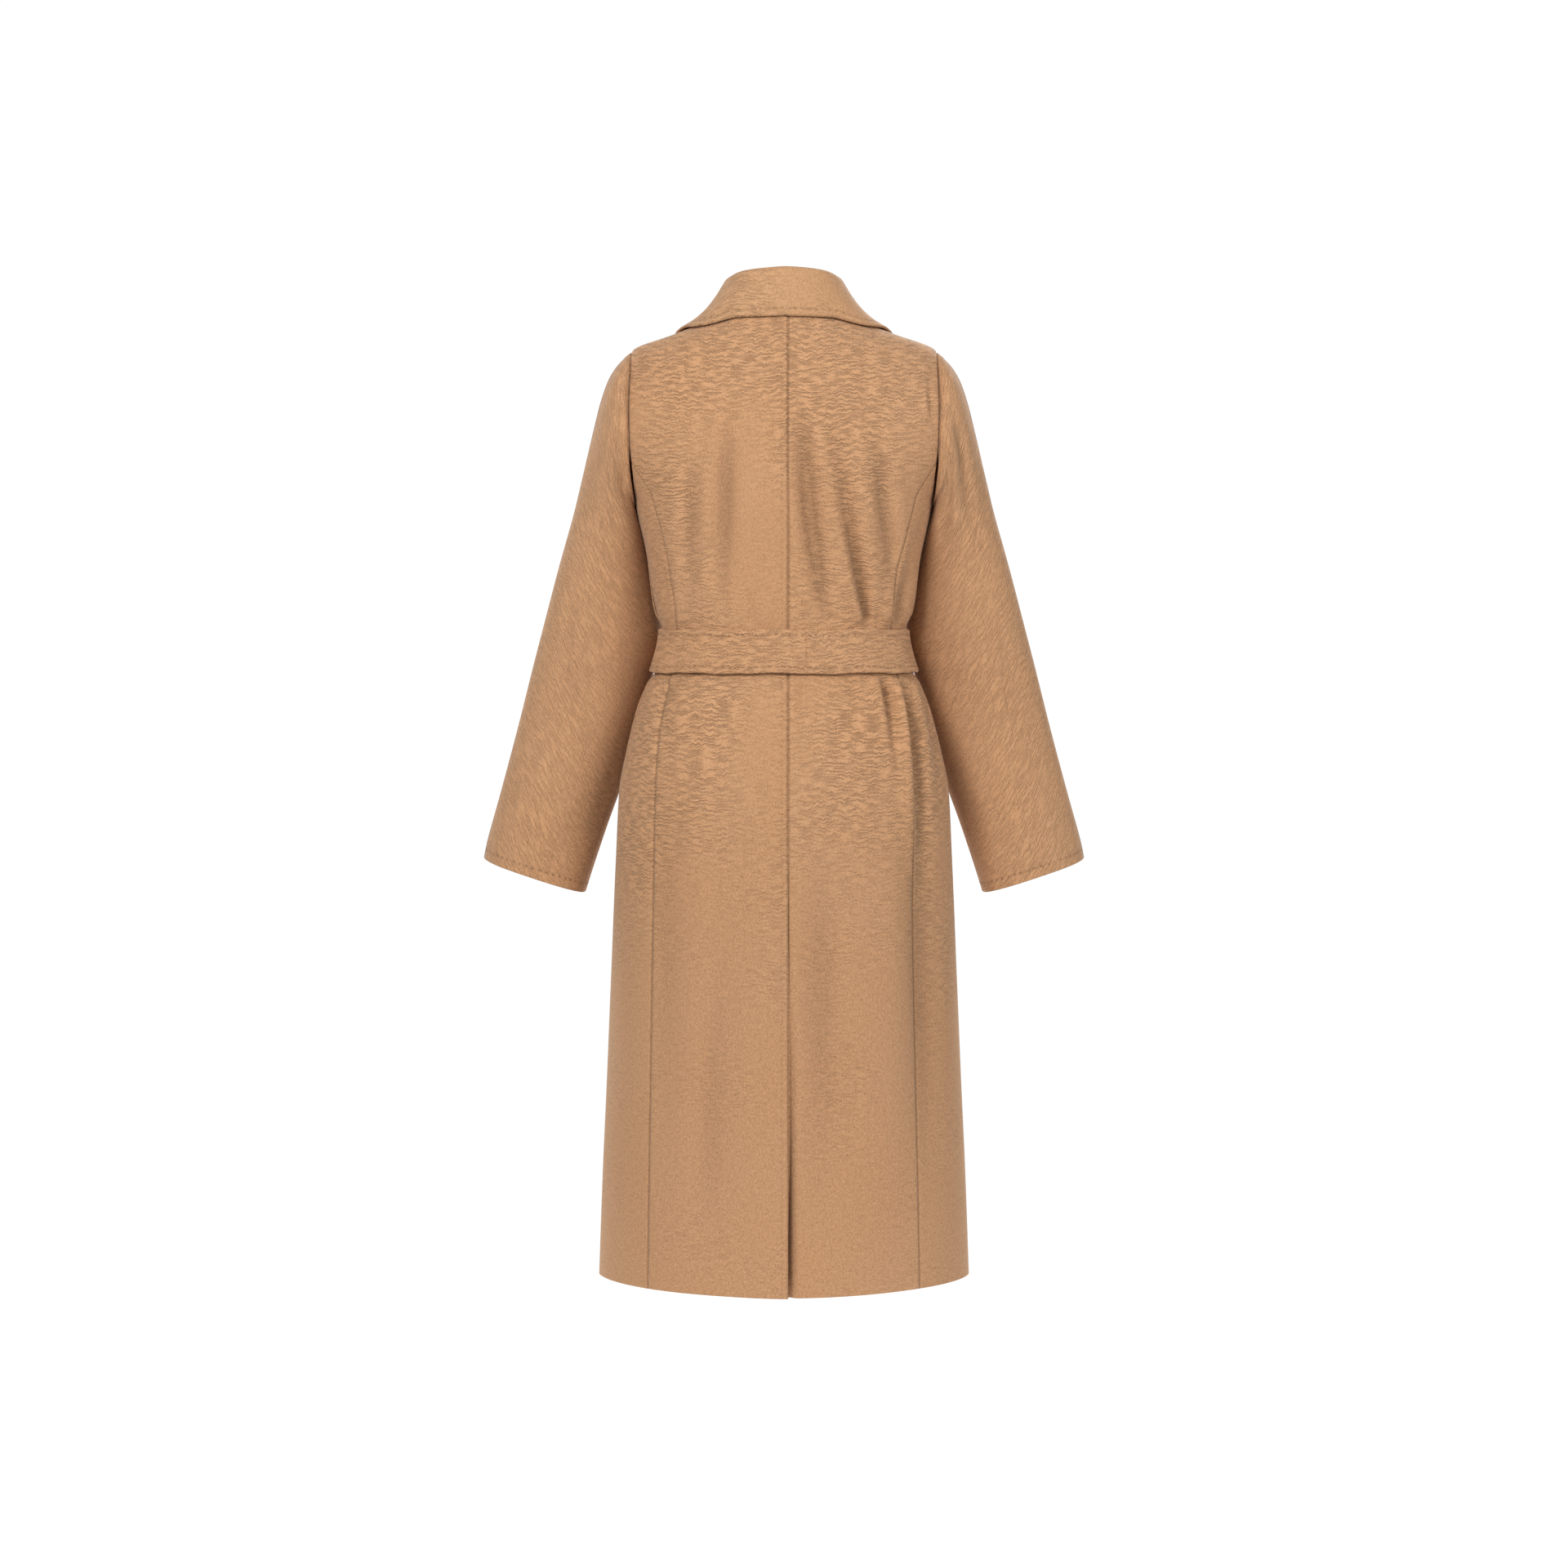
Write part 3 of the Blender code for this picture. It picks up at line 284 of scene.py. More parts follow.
# Where a sleeve is fuller at its underside, in turns of degrees as all its creases are
SLEEVE_FULLNESS = (
    (-0.196, -0.300, 186.0, 196.0, 0.0, -0.0072, 46.0, 0.42, 0.00, 0.00),
    (-0.350, -0.450, 200.0, 200.0, 0.0, -0.0040, 40.0, 0.50, 0.00, 0.00),
)
SLEEVE_CREASES_LEFT = table(
    CREASE_COLUMNS,
    *SLEEVE_FULLNESS,
    (-0.480, -0.710, 140.0, 128.0, 0.0, 0.0045, 24.0, 0.60, 0.00, 0.20),
    (-0.170, -0.290, 118.0, 130.0, 0.0, 0.0035, 10.0, 0.45, 0.00, 0.40),
    (-0.380, -0.560, 70.0, 84.0, 4.0, 0.0018, 14.0, 0.45, 0.00, 0.20),
    (-0.300, -0.460, 285.0, 268.0, 0.0, 0.0040, 12.0, 0.50, 0.00, 0.40),
    (-0.420, -0.600, 236.0, 250.0, 0.0, 0.0030, 12.0, 0.50, 0.00, 0.30),
)
SLEEVE_CREASES_RIGHT = table(
    CREASE_COLUMNS,
    *SLEEVE_FULLNESS,
    (-0.110, -0.320, 70.0, 77.0, 0.0, 0.0060, 8.0, 0.40, 0.00, 0.40),
    (-0.200, -0.330, 104.0, 118.0, 0.0, 0.0022, 9.0, 0.45, 0.00, 0.30),
    (-0.480, -0.700, 146.0, 136.0, 0.0, 0.0035, 22.0, 0.60, 0.00, 0.20),
    (-0.440, -0.620, 64.0, 80.0, 0.0, 0.0016, 14.0, 0.45, 0.00, 0.20),
    (-0.310, -0.450, 280.0, 262.0, 0.0, 0.0038, 12.0, 0.50, 0.00, 0.40),
    (-0.430, -0.620, 232.0, 246.0, 0.0, 0.0028, 12.0, 0.50, 0.00, 0.30),
)

# Slow waves: size, how wide and how long they are, and where they begin.
BACK_WAVES = ((0.0008, 0.035, 0.50, 1.0), (0.0005, 0.019, 0.33, 2.2))
FRONT_WAVES = ((0.0010, 0.040, 0.45, 0.6), (0.0006, 0.021, 0.30, 1.9))
SLEEVE_WAVES = ((0.0009, 0.0125, 0.10, 0.5), (0.0006, 0.0080, 0.06, 1.7))
COLLAR_WAVES = ((0.0006, 0.022, 0.060, 1.0), (0.0003, 0.009, 0.040, 2.0))
BELT_WAVES = ((0.0005, 0.016, 0.40, 0.7), (0.0003, 0.007, 0.30, 1.4))
KNOT_CREASES = ((0.35, -0.42, 0.0045, 0.10), (-0.20, 0.15, 0.0055, 0.08), (0.15, 0.55, 0.0040, 0.10))

# Where the ripple shows most or least: across, height, half its width and height, and how much.
RIPPLE_PATCHES = (
    (0.000, -0.070, 0.200, 0.070, 0.55),
    (-0.070, -0.150, 0.070, 0.100, 0.35),
    (0.130, -0.170, 0.050, 0.120, 0.35),
    (-0.100, -0.240, 0.040, 0.080, 0.20),
    (0.055, -0.250, 0.045, 0.160, -0.25),
    (0.100, -0.500, 0.060, 0.100, 0.60),
    (-0.090, -0.500, 0.070, 0.100, 0.60),
    (0.030, -0.500, 0.030, 0.100, -0.20),
    (0.175, -0.620, 0.040, 0.200, 0.30),
    (-0.175, -0.620, 0.040, 0.200, 0.30),
)

RIPPLE_ELSEWHERE, RIPPLE_FADE, RIPPLE_AT_HEM = 0.40, (-0.95, -0.62), 0.5

# Furrows in each piece: the edge they follow, how far from it, the pitch of their stitches (0 for
# a seam, which has none) and how strong they are.
COLLAR_GROOVES = (("bottom", 0.0088, 0.0085, 1.0), ("bottom", 0.0, 0, 0.8))
BELT_GROOVES = (("bottom", 0.0070, 0.0080, 1.0), ("top", 0.0070, 0.0080, 1.0))
TAIL_GROOVES = (
    ("start", 0.0070, 0.0080, 1.0),
    ("end", 0.0070, 0.0080, 1.0),
    ("bottom", 0.0070, 0.0080, 1.0),
)
CUFF_GROOVES = (("top", 0.0120, 0.0085, 1.0), ("bottom", 0.0, 0, 1.3))
FRONT_GROOVES = (("end", 0.0090, 0.0085, 1.0), ("start", 0.0, 0, 1.0))
UNDERLAP_GROOVES = (("top", 0.0050, 0.0075, 1.0),)
BACK_GROOVES = (("start", 0.0075, 0.0072, 0.45), ("start", 0.0, 0, 1.1), ("end", 0.0, 0, 1.1))
SIDE_BACK_GROOVES = (("start", 0.0, 0, 1.1), ("end", 0.0, 0, 1.0))

# Studio: floor, lights and the photo's camera
FLOOR, FLOOR_REACH = -1.45, 2.0
FLOOR_FADE, FLOOR_GLOW = (0.55, 1.60), 0.30
WORLD_LIGHT, WORLD_SEEN = 0.40, 1.02
LIGHTS = (
    ("key", (1.35, 2.70, 1.00), 1.3, 70.0),
    ("fill", (-1.9, 2.40, 0.60), 1.8, 42.0),
    ("front key", (-1.35, -2.70, 1.00), 1.3, 70.0),
    ("front fill", (1.9, -2.40, 0.60), 1.8, 42.0),
)
CAMERA = (0.0, 4.5, -0.385)
LENS, CAMERA_SHIFT = 84.375, -0.1057


# ---------------------------------------------------------------- curves and the body's surface


def smooth(xs, ys, at):
    """Values on a smooth curve through the points, which never overshoots them."""
    steps = np.diff(xs)
    slopes = np.diff(ys) / steps
    tangents = np.concatenate([slopes[:1], np.zeros(len(xs) - 2), slopes[-1:]])
    same_way = slopes[1:] * slopes[:-1] > 0
    before, after = slopes[:-1][same_way], slopes[1:][same_way]
    near = (2 * steps[1:] + steps[:-1])[same_way]
    far = (steps[1:] + 2 * steps[:-1])[same_way]
    tangents[1:-1][same_way] = (near + far) / (near / before + far / after)
    at = np.clip(at, xs[0], xs[-1])
    i = np.clip(np.searchsorted(xs, at) - 1, 0, len(xs) - 2)
    t = (at - xs[i]) / steps[i]
    return (
        ys[i] * (1 + 2 * t) * (1 - t) ** 2
        + ys[i + 1] * t**2 * (3 - 2 * t)
        + steps[i] * (tangents[i] * t * (1 - t) ** 2 - tangents[i + 1] * t**2 * (1 - t))
    )


def column(rows, name, at):
    """A column of a table, read along its first column."""
    first = next(iter(rows.values()))
    return smooth(first, rows[name], at)


def ease(start, end, at):
    """0 before start and 1 after end, with a soft change between them."""
    t = np.clip((at - start) / (end - start), 0, 1)
    return t * t * (3 - 2 * t)


def power(value, exponent):
    return np.sign(value) * np.abs(value) ** exponent


def armhole_share(level):
    return np.clip((level - UNDERARM) / (SHOULDER - UNDERARM), 0, 1)


def armhole_opening(level):
    """How wide the armhole oval is open at a level, from 0 to 1."""
    return np.sqrt(np.clip(1 - (2 * armhole_share(level) - 1) ** 2, 0, 1))


def half_width(level, depth, armhole_half):
    """The ring's half width. Beside the armhole it is the one that puts the oval's edge in its place."""
    plain = column(RINGS, "half_width", level)
    square = column(RINGS, "square", level)
    edge = column(ARMHOLE_EDGE, "reach", armhole_share(level))
    edge_share = np.clip(armhole_half * armhole_opening(level) / depth, 0, 0.9)
    wide = edge / (1 - edge_share**square) ** (1 / square)
    return np.where((level > UNDERARM) & (level < SHOULDER), wide, plain)


def ring_sizes(level, at_back):
    """Half width, depth and squareness of the back or front half of a ring."""
    back, front = column(RINGS, "back_depth", level), column(RINGS, "front_depth", level)
    depth = np.where(at_back, back, front)
    width = half_width(level, depth, np.where(at_back, ARMHOLE_BACK, ARMHOLE_FRONT))
    return width, depth, column(RINGS, "square", level)


def ring_point(angle, level):
    """A point of a ring, before the rings at the shoulder are rounded into one another."""
    across, along = np.sin(angle), np.cos(angle)
    width, depth, square = ring_sizes(level, along >= 0)
    rise = np.where(
        along >= 0, column(RINGS, "back_rise", level), column(RINGS, "front_rise", level)
    )
    return np.stack(
        [
            width * power(across, 2 / square),
            depth * power(along, 2 / square),
            level + rise * along**2,
        ],
        axis=-1,
    )


def body_point(angle, level):
    """A point of the body's surface. The shoulder blades and the chest round over into the yoke."""
    angle, level = np.broadcast_arrays(np.asarray(angle, float), np.asarray(level, float))
    near_shoulder = ease(-0.130, -0.085, level) * (1 - ease(-0.040, NECK, level))
    reach = YOKE_ROUND * near_shoulder * np.sqrt(np.abs(np.cos(angle)))
    point = 0.5 * ring_point(angle, level)
    for way in (-1, 1):
        point = point + 0.25 * ring_point(angle, level + way * reach)
    return point


def body_normal(angle, level):
    """Straight out of the cloth."""
    angle, level = np.broadcast_arrays(np.asarray(angle, float), np.asarray(level, float))
    turn, climb = 0.01, 0.002
    round_it = body_point(angle + turn, level) - body_point(angle - turn, level)
    above, below = np.clip(level + climb, HEM, NECK), np.clip(level - climb, HEM, NECK)
    up_it = body_point(angle, above) - body_point(angle, below)
    out = np.cross(up_it, round_it)
    return out / np.linalg.norm(out, axis=-1, keepdims=True)


def angle_at_back(across, level):
    """The angle where a ring passes that far to the side of the centre back."""
    width, _, square = ring_sizes(level, True)
    return np.arcsin(np.clip(power(across / width, square / 2), -1, 1))


def angle_at_front(past, level):
    """The angle where a front that comes round from its own side reaches that far past the centre."""
    width, _, square = ring_sizes(level, False)
    return math.pi + np.arcsin(np.clip(power(past / width, square / 2), -1, 1))


def armhole_angle(level, at_back):
    """The angle of the armhole's edge on the back or front half of a ring."""
    half = np.where(at_back, ARMHOLE_BACK, ARMHOLE_FRONT) * armhole_opening(level)
    _, depth, square = ring_sizes(level, at_back)
    angle = np.arccos(np.clip((half / depth) ** (square / 2), 0, 1))
    return np.where(at_back, angle, math.pi - angle)


def under_belt(level):
    """1 where the belt presses the cloth flat."""
    return ease(BELT_BOTTOM - BELT_EASE, BELT_BOTTOM - BELT_CLEAR, level) * (
        1 - ease(BELT_TOP + BELT_CLEAR, BELT_TOP + BELT_EASE, level)
    )


def spread(start, end, count):
    return np.linspace(start, end, count + 1)


def trim(face, under, gap):
    """Cuts a piece back from the seam at its first column, along the cloth."""
    along = face[:, 1] - face[:, 0]
    step = gap * along / np.linalg.norm(along, axis=-1, keepdims=True)
    face[:, 0] += step
    under[:, 0] += step
    return face, under


def tube_normals(grid, towards):
    """Straight out of a tube of points, on the side that the given directions lie on."""
    up_it = np.gradient(grid, axis=0)
    round_it = np.roll(grid, -1, axis=1) - np.roll(grid, 1, axis=1)
    out = np.cross(up_it, round_it)
    out = out / np.linalg.norm(out, axis=-1, keepdims=True)
    facing = np.sum(out * towards, axis=-1, keepdims=True)
    return np.where(facing < 0, -out, out)


def on_body(angle, level, lift):
    """Points on the body's surface, moved out by a lift."""
    return body_point(angle, level) + body_normal(angle, level) * np.asarray(lift)[..., None]


def armhole_levels(turn):
    """Levels of the armhole's edge at turns round it: 0 at the shoulder point, 180 at the underarm."""
    return UNDERARM + (SHOULDER - UNDERARM) * (1 + np.cos(turn)) / 2


def princess_angle(level):
    """The angle of the seam between back and side back, up to where it meets the armhole."""
    table_top = PRINCESS["level"][-1]
    low = angle_at_back(column(PRINCESS, "across", level), level)
    start = angle_at_back(PRINCESS["across"][-1], table_top)
    end = armhole_angle(PRINCESS_NOTCH, True)
    share = (level - table_top) / (PRINCESS_NOTCH - table_top)
    return np.where(level < table_top, low, start + (end - start) * share)


def back_edge(level):
    """The outer edge of a back: the princess seam, the armhole, then the shoulder seam."""
    edge = np.where(level < PRINCESS_NOTCH, princess_angle(level), armhole_angle(level, True))
    return np.where(level >= SHOULDER, math.pi / 2, edge)


def over_lift(angle, level):
    """How far the over front stands off the body; its angle is counted round from its own side."""
    chest = ease(BELT_BOTTOM - 0.020, BELT_BOTTOM + 0.020, level)
    high = OVER_SKIRT + (OVER_CHEST - OVER_SKIRT) * chest
    return high * ease(OVER_FROM, OVER_TO, angle)


def front_side_edge(level):
    """The side seam, the armhole's front edge, then the shoulder seam."""
    beside_armhole = (level > UNDERARM) & (level < SHOULDER)
    return np.where(beside_armhole, armhole_angle(level, False), math.pi / 2)


def armhole_loop(turn):
    """Points of the armhole's edge at turns round it: 0 at the shoulder, 90 behind, 180 underarm."""
    at_back = np.sin(turn) >= 0
    level = armhole_levels(turn)
    angle = armhole_angle(level, at_back)
    return body_point(angle, level), body_normal(angle, level)


def sleeve_ring(row, turn):
    """One ring of the sleeve, through its outer and inner side."""
    outer = np.array([row["outer_x"], row["outer_y"], row["outer_z"]])
    inner = np.array([row["inner_x"], row["inner_y"], row["inner_z"]])
    reach = power(np.cos(turn), 2 / SLEEVE_SQUARE)[:, None] * (outer - inner) / 2
    deep = power(np.sin(turn), 2 / SLEEVE_SQUARE)[:, None] * np.array([0, row["half_depth"], 0])
    return (outer + inner) / 2 + reach + deep


def unit(vector):
    return vector / np.linalg.norm(vector)


def fold_over(foot, outward, up, rise, radius, thick, fall_way):
    """The stand and the fold of a turned-back edge: points of the cloth's face and of its underside.

    They run from where the fall starts, over the top and down inside to the foot.
    """
    centre = foot + up * (rise - radius)
    steep = -float(fall_way @ up)
    flat = float(fall_way @ outward)
    start = math.atan2(flat, steep)
    face, under = [], []
    for way in np.linspace(start, math.pi, 5):
        direction = outward * math.cos(way) + up * math.sin(way)
        face.append(centre + direction * radius)
        under.append(centre + direction * (radius - thick))
    for share in (0.5, 1.0):
        down = centre + (foot - centre) * share
        face.append(down - outward * radius)
        under.append(down - outward * (radius - thick))
    return face, under


def collar_section(degrees):
    """The neck part at one place: from the outer edge up the fall, over the fold and down inside."""
    angle = math.radians(degrees)
    row = {name: float(column(COLLAR, name, abs(degrees))) for name in COLLAR}
    up = np.array([0.0, 0.0, 1.0])
    neck = body_point(angle, NECK)
    outward = unit(np.array([neck[0], neck[1], 0.0]))
    foot = neck + outward * row["fold_out"] + up * LAP_GAP
    edge = on_body(angle, row["edge_level"], COLLAR_CLOTH + COLLAR_EDGE_GAP)
    top = foot + up * (row["rise"] - COLLAR_RADIUS) + outward * COLLAR_RADIUS
    fall_way = unit(edge - top)
    fold, fold_under = fold_over(
        foot, outward, up, row["rise"], COLLAR_RADIUS, COLLAR_CLOTH, fall_way
    )
    fall_out = outward * float(-fall_way @ up) + up * float(fall_way @ outward)
    face, under = [], []
    for share in spread(0, 1, 4)[:-1]:
        bulge = row["bulge"] * math.sin(math.pi * share)
        point = edge + (fold[0] - edge) * share + fall_out * bulge
        face.append(point)
        under.append(point - fall_out * COLLAR_CLOTH)
    return face + fold, under + fold_under


def belt_lift(angle):
    """The belt's inner side clears the fronts and their lapels; the angle is from the back."""
    stack = OVER_CHEST + LAPEL_FOOT_GAP + LAPEL_RISE
    return LAP_GAP + stack * ease(math.radians(95), math.radians(133), np.abs(angle))


def creases(rows, across, height):
    """How far the cloth is drawn in by its creases, each with a soft ridge beside it."""
    total = np.zeros(np.broadcast(across, height).shape)
    for row in each_row(rows):
        t = (height - row["top"]) / (row["end"] - row["top"])
        inside = np.clip(t, 0, 1)
        straight = row["top_at"] + (row["end_at"] - row["top_at"]) * inside
        middle = straight + row["bow"] * 4 * inside * (1 - inside)
        strength = ease(-0.03, row["peak"], t) * (1 - ease(row["peak"], 1.05, t))
        width = row["width"] * (1.35 - 0.7 * row["pinch"] * inside)
        off = (across - middle) / width
        valley = np.exp(-(off**2))
        ridge = np.exp(-((off - 1.7) ** 2)) * row["ridge"] + np.exp(-((off + 1.8) ** 2)) * 0.25
        total += row["depth"] * strength * (valley - ridge)
    return total


def soft_waves(across, height, sizes):
    """Slow unevenness that no cloth is without, from a few long waves."""
    total = np.zeros(np.broadcast(across, height).shape)
    for size, wide, long, turn in sizes:
        total += size * np.sin(across / wide + turn) * np.cos(height / long + 2.1 * turn)
    return total


def shares(length, step, fine_start=True, fine_end=True):
    """Shares of a length, from 0 to 1, in even steps, with finer ones beside an edge."""
    middle = np.linspace(0, 1, max(2, int(round(length / step))) + 1)
    fine = np.array(EDGE_STEPS) / length
    keep = middle
    if fine_start:
        keep = np.concatenate([fine, keep[keep > fine[-1] * 1.2]])
    if fine_end:
        keep = np.concatenate([keep[keep < 1 - fine[-1] * 1.2], 1 - fine[::-1]])
    return keep


def between(start, end, step, fine_start=False, fine_end=False):
    """Values from start to end, in metres, spaced as shares() says."""
    return start + (end - start) * shares(abs(end - start), step, fine_start, fine_end)


def walked(grid, axis):
    """The distance walked along the cloth from the first row or column, and what is left of it."""
    steps = np.linalg.norm(np.diff(grid, axis=axis), axis=-1)
    pad = [(0, 0), (0, 0)]
    pad[axis] = (1, 0)
    walked_so_far = np.cumsum(np.pad(steps, pad), axis=axis)
    whole = np.take(walked_so_far, [-1], axis=axis)
    return walked_so_far, whole - walked_so_far


def places_along(steps, step, fine_end):
    """Places on coarse rows that lie that far apart, counted in rows, and how far along each is."""
    along = np.concatenate([[0.0], np.cumsum(steps)])
    places = np.interp(between(0, along[-1], step, True, fine_end), along, np.arange(len(along)))
    return places, np.interp(places, np.arange(len(along)), along)


def edge_profile(distance, radius):
    """How full the cloth is near a free edge: rounded from nearly nothing to its whole thickness."""
    near = np.clip(1 - distance / radius, 0, 1)
    return np.sqrt(1 - 0.96 * near**2)


class Cloth:
    """A sheet of cloth under way: its face, the way out of it, and what its material reads."""

    def __init__(self, name, face, out, thick, across=None, along=None, closed=False, parted=False):
        self.name, self.face, self.out, self.thick = name, face, out, thick
        self.closed, self.parted = closed, parted
        self.from_start, self.from_end = walked(face, 1)
        self.from_bottom, self.from_top = walked(face, 0)
        self.across = self.from_start if across is None else across
        self.along = self.from_bottom if along is None else along
        self.seams = {}
        self.ripple = 1.0
        self.drawn_in = 0.0

    def edges(self, **kinds):
        """Says for each edge how far it is a seam (1) or a free, rounded edge (0)."""
        self.seams.update(kinds)
        return self

    def sides(self):
        """The points of the face and of the underside, rounded at free edges, dipped at seams."""
        distances = {
            "start": self.from_start,
            "end": self.from_end,
            "bottom": self.from_bottom,
            "top": self.from_top,
        }
        full = np.ones(self.face.shape[:2])
        dip = np.zeros(self.face.shape[:2])
        for edge, seam in self.seams.items():
            distance = distances[edge]
            dip = dip + SEAM_DIP * seam * np.exp(-((distance / SEAM_DIP_WIDTH) ** 2))
            free = edge_profile(distance, EDGE_ROUND * self.thick)
            full = full * (seam + (1 - seam) * free)
        half = (0.5 * self.thick * full)[..., None]
        middle = self.face - self.out * 0.5 * self.thick
        return middle + self.out * (half - dip[..., None]), middle - self.out * half

    def build(self, material):
        """Makes the piece, which stands for the solid of the same name."""
        face, under = self.sides()
        rows, columns = face.shape[:2]
        place = np.arange(rows * columns).reshape(rows, columns)
        if self.closed:
            place = np.concatenate([place, place[:, :1]], axis=1)
        shift = rows * columns
        cells = np.stack([place[:-1, :-1], place[:-1, 1:], place[1:, 1:], place[1:, :-1]], axis=-1)
        cells = cells.reshape(-1, 4)
        rims = [place[0], place[-1][::-1]]
        if not self.closed:
            rims += [place[:, -1], place[::-1, 0]]
        rim_faces = [
            np.stack([rim[1:], rim[:-1], rim[:-1] + shift, rim[1:] + shift], axis=-1)
            for rim in rims
        ]
        faces = np.concatenate([cells, cells[:, ::-1] + shift, *rim_faces])
        points = np.concatenate([face.reshape(-1, 3), under.reshape(-1, 3)])
        first = points[faces[0]]
        turned = np.cross(first[1] - first[0], first[3] - first[0]) @ self.out[0, 0]
        if turned < 0:
            faces = faces[:, ::-1]
        piece = new_piece(self.name + "_cloth", points, faces, material)
        mesh = piece.data
        self.store(mesh, "cloth", self.across, self.along, 0.0)
        self.store(mesh, "beside", self.from_start, self.from_end, self.ripple)
        # The third number of ends is how far the cloth is drawn in, which the material darkens as
        # painted shade.
        self.store(mesh, "ends", self.from_bottom, self.from_top, self.drawn_in)
        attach(piece, "root")
        ends = ("_upper", "_lower") if self.parted else ("",)
        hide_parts(*[self.name + end for end in ends])
        self.piece = piece
        return self

    def store(self, mesh, name, *numbers):
        """Stores three numbers at each point of the face and at the same point of the underside."""
        spread_out = [np.broadcast_to(number, self.face.shape[:2]) for number in numbers]
        flat = np.concatenate([np.stack(spread_out, axis=-1).reshape(-1, 3)] * 2)
        stored = mesh.attributes.new(name, "FLOAT_VECTOR", "POINT")
        stored.data.foreach_set("vector", flat.astype(np.float32).ravel())


def new_piece(name, points, faces, material):
    mesh = bpy.data.meshes.new(name)
    mesh.from_pydata(np.asarray(points).tolist(), [], np.asarray(faces).tolist())
    mesh.shade_smooth()
    mesh.materials.append(material)
    piece = bpy.data.objects.new(name, mesh)
    bpy.context.scene.collection.objects.link(piece)
    return piece


def through(rows, at):
    """Points on a smooth curve through the rows of points, at places counted in rows."""
    last = len(rows) - 1
    at = np.clip(at, 0, last)
    i = np.clip(np.floor(at).astype(int), 0, last - 1)
    t = (at - i).reshape(-1, *[1] * (rows.ndim - 1))
    before, here = rows[np.clip(i - 1, 0, last)], rows[i]
    after, beyond = rows[i + 1], rows[np.clip(i + 2, 0, last)]
    return 0.5 * (
        2 * here
        + (after - before) * t
        + (2 * before - 5 * here + 4 * after - beyond) * t**2
        + (3 * here - before - 3 * after + beyond) * t**3
    )


# ---------------------------------------------------------------- body panels


def cloth_out(angle, level, height_in):
    """The face of cloth on the body, drawn in by its creases, and the way out of it."""
    out = body_normal(angle, level)
    return body_point(angle, level) - out * height_in[..., None], out


def pressed(drawn, level):
    """Cloth lies flat under the belt, and turns in sharply just below it. The material also paints shade
    there, from how far the cloth is drawn in.
    """
    below = BELT_SHADE * np.exp(-(((level - BELT_BOTTOM) / BELT_SHADE_WIDTH) ** 2))
    return drawn * (1 - BELT_PRESS * under_belt(level)) + below


def seam_angle(level):
    """The angle of the centre-back seam, which lies a little to the wearer's right."""
    return angle_at_back(BACK_SEAM + 0 * level, level)


def lower_rows():
    skirt = between(HEM, BELT_BOTTOM, ROW_STEP, fine_start=True)[:-1]
    belt = between(BELT_BOTTOM, BELT_TOP, ROW_STEP)[:-1]
    return np.concatenate([skirt, belt])


def armhole_rows(first):
    """Levels up the armhole's edge in even turns, from a turn to the shoulder point."""
    return armhole_levels(np.arange(first, ARMHOLE_STEP / 2, -ARMHOLE_STEP))


def yoke_rows():
    return SHOULDER + (NECK - SHOULDER) * shares(YOKE_LENGTH, ROW_STEP, False, False) ** YOKE_CLOSER


def back_drawn_in(point):
    """The creases and the slow unevenness of the back at its points."""
    across, height = point[..., 0], point[..., 2]
    return creases(BACK_CREASES, across, height) + soft_waves(across, height, BACK_WAVES)


def vent_lift(across, level, side):
    """The left back lies over the vent and the right back falls away from its edge."""
    if side > 0:
        hanging = 1 - ease(HEM, VENT_LIFT_FROM, level)
        return VENT_LIFT * hanging * (1 - ease(0.0, VENT_LIFT_REACH, across - BACK_SEAM))
    falling = 1 - ease(VENT_TUCK_WHOLE, VENT_FROM, level)
    return -VENT_TUCK * falling * (1 - ease(0.0, VENT_TUCK_REACH, BACK_SEAM - across))


def ripple_on_back(across, height):
    """How strongly the cloth's ripple shows: most on the blades and below the belt, least between."""
    strong = np.zeros(np.broadcast(across, height).shape)
    for x, z, wide, tall, amount in RIPPLE_PATCHES:
        strong += amount * np.exp(-(((across - x) / wide) ** 2) - ((height - z) / tall) ** 2)
    fade = RIPPLE_AT_HEM + (1 - RIPPLE_AT_HEM) * ease(*RIPPLE_FADE, height)
    return np.clip(RIPPLE_ELSEWHERE + strong, 0.0, 1.0) * fade


def make_back(name, side, material):
    levels = np.concatenate(
        [
            lower_rows(),
            between(BELT_TOP, PRINCESS_NOTCH, ROW_STEP)[:-1],
            armhole_rows(NOTCH_TURN),
            yoke_rows(),
        ]
    )
    columns = shares(BACK_WIDTH, COLUMN_STEP)
    level = np.repeat(levels[:, None], len(columns), axis=1)
    start = side * seam_angle(levels)[:, None]
    angle = start + (back_edge(levels)[:, None] - start) * columns[None, :]
    plain = body_point(side * angle, level)
    across, height = plain[..., 0], plain[..., 2]
    drawn = pressed(back_drawn_in(plain), level)
    lift = vent_lift(across, level, side)
    face, out = cloth_out(side * angle, level, drawn - lift)
    cloth = Cloth(name, face, out, CLOTH, across=across, along=height, parted=True)
    cloth.ripple = ripple_on_back(across, height)
    cloth.drawn_in = drawn
    open_vent = 1 - ease(VENT_TOP - 0.02, VENT_TOP, level)
    start_seam = 1 - open_vent if side > 0 else np.ones_like(level)
    cloth.edges(start=start_seam, end=1.0, bottom=0.0, top=1.0)
    return cloth.build(material)


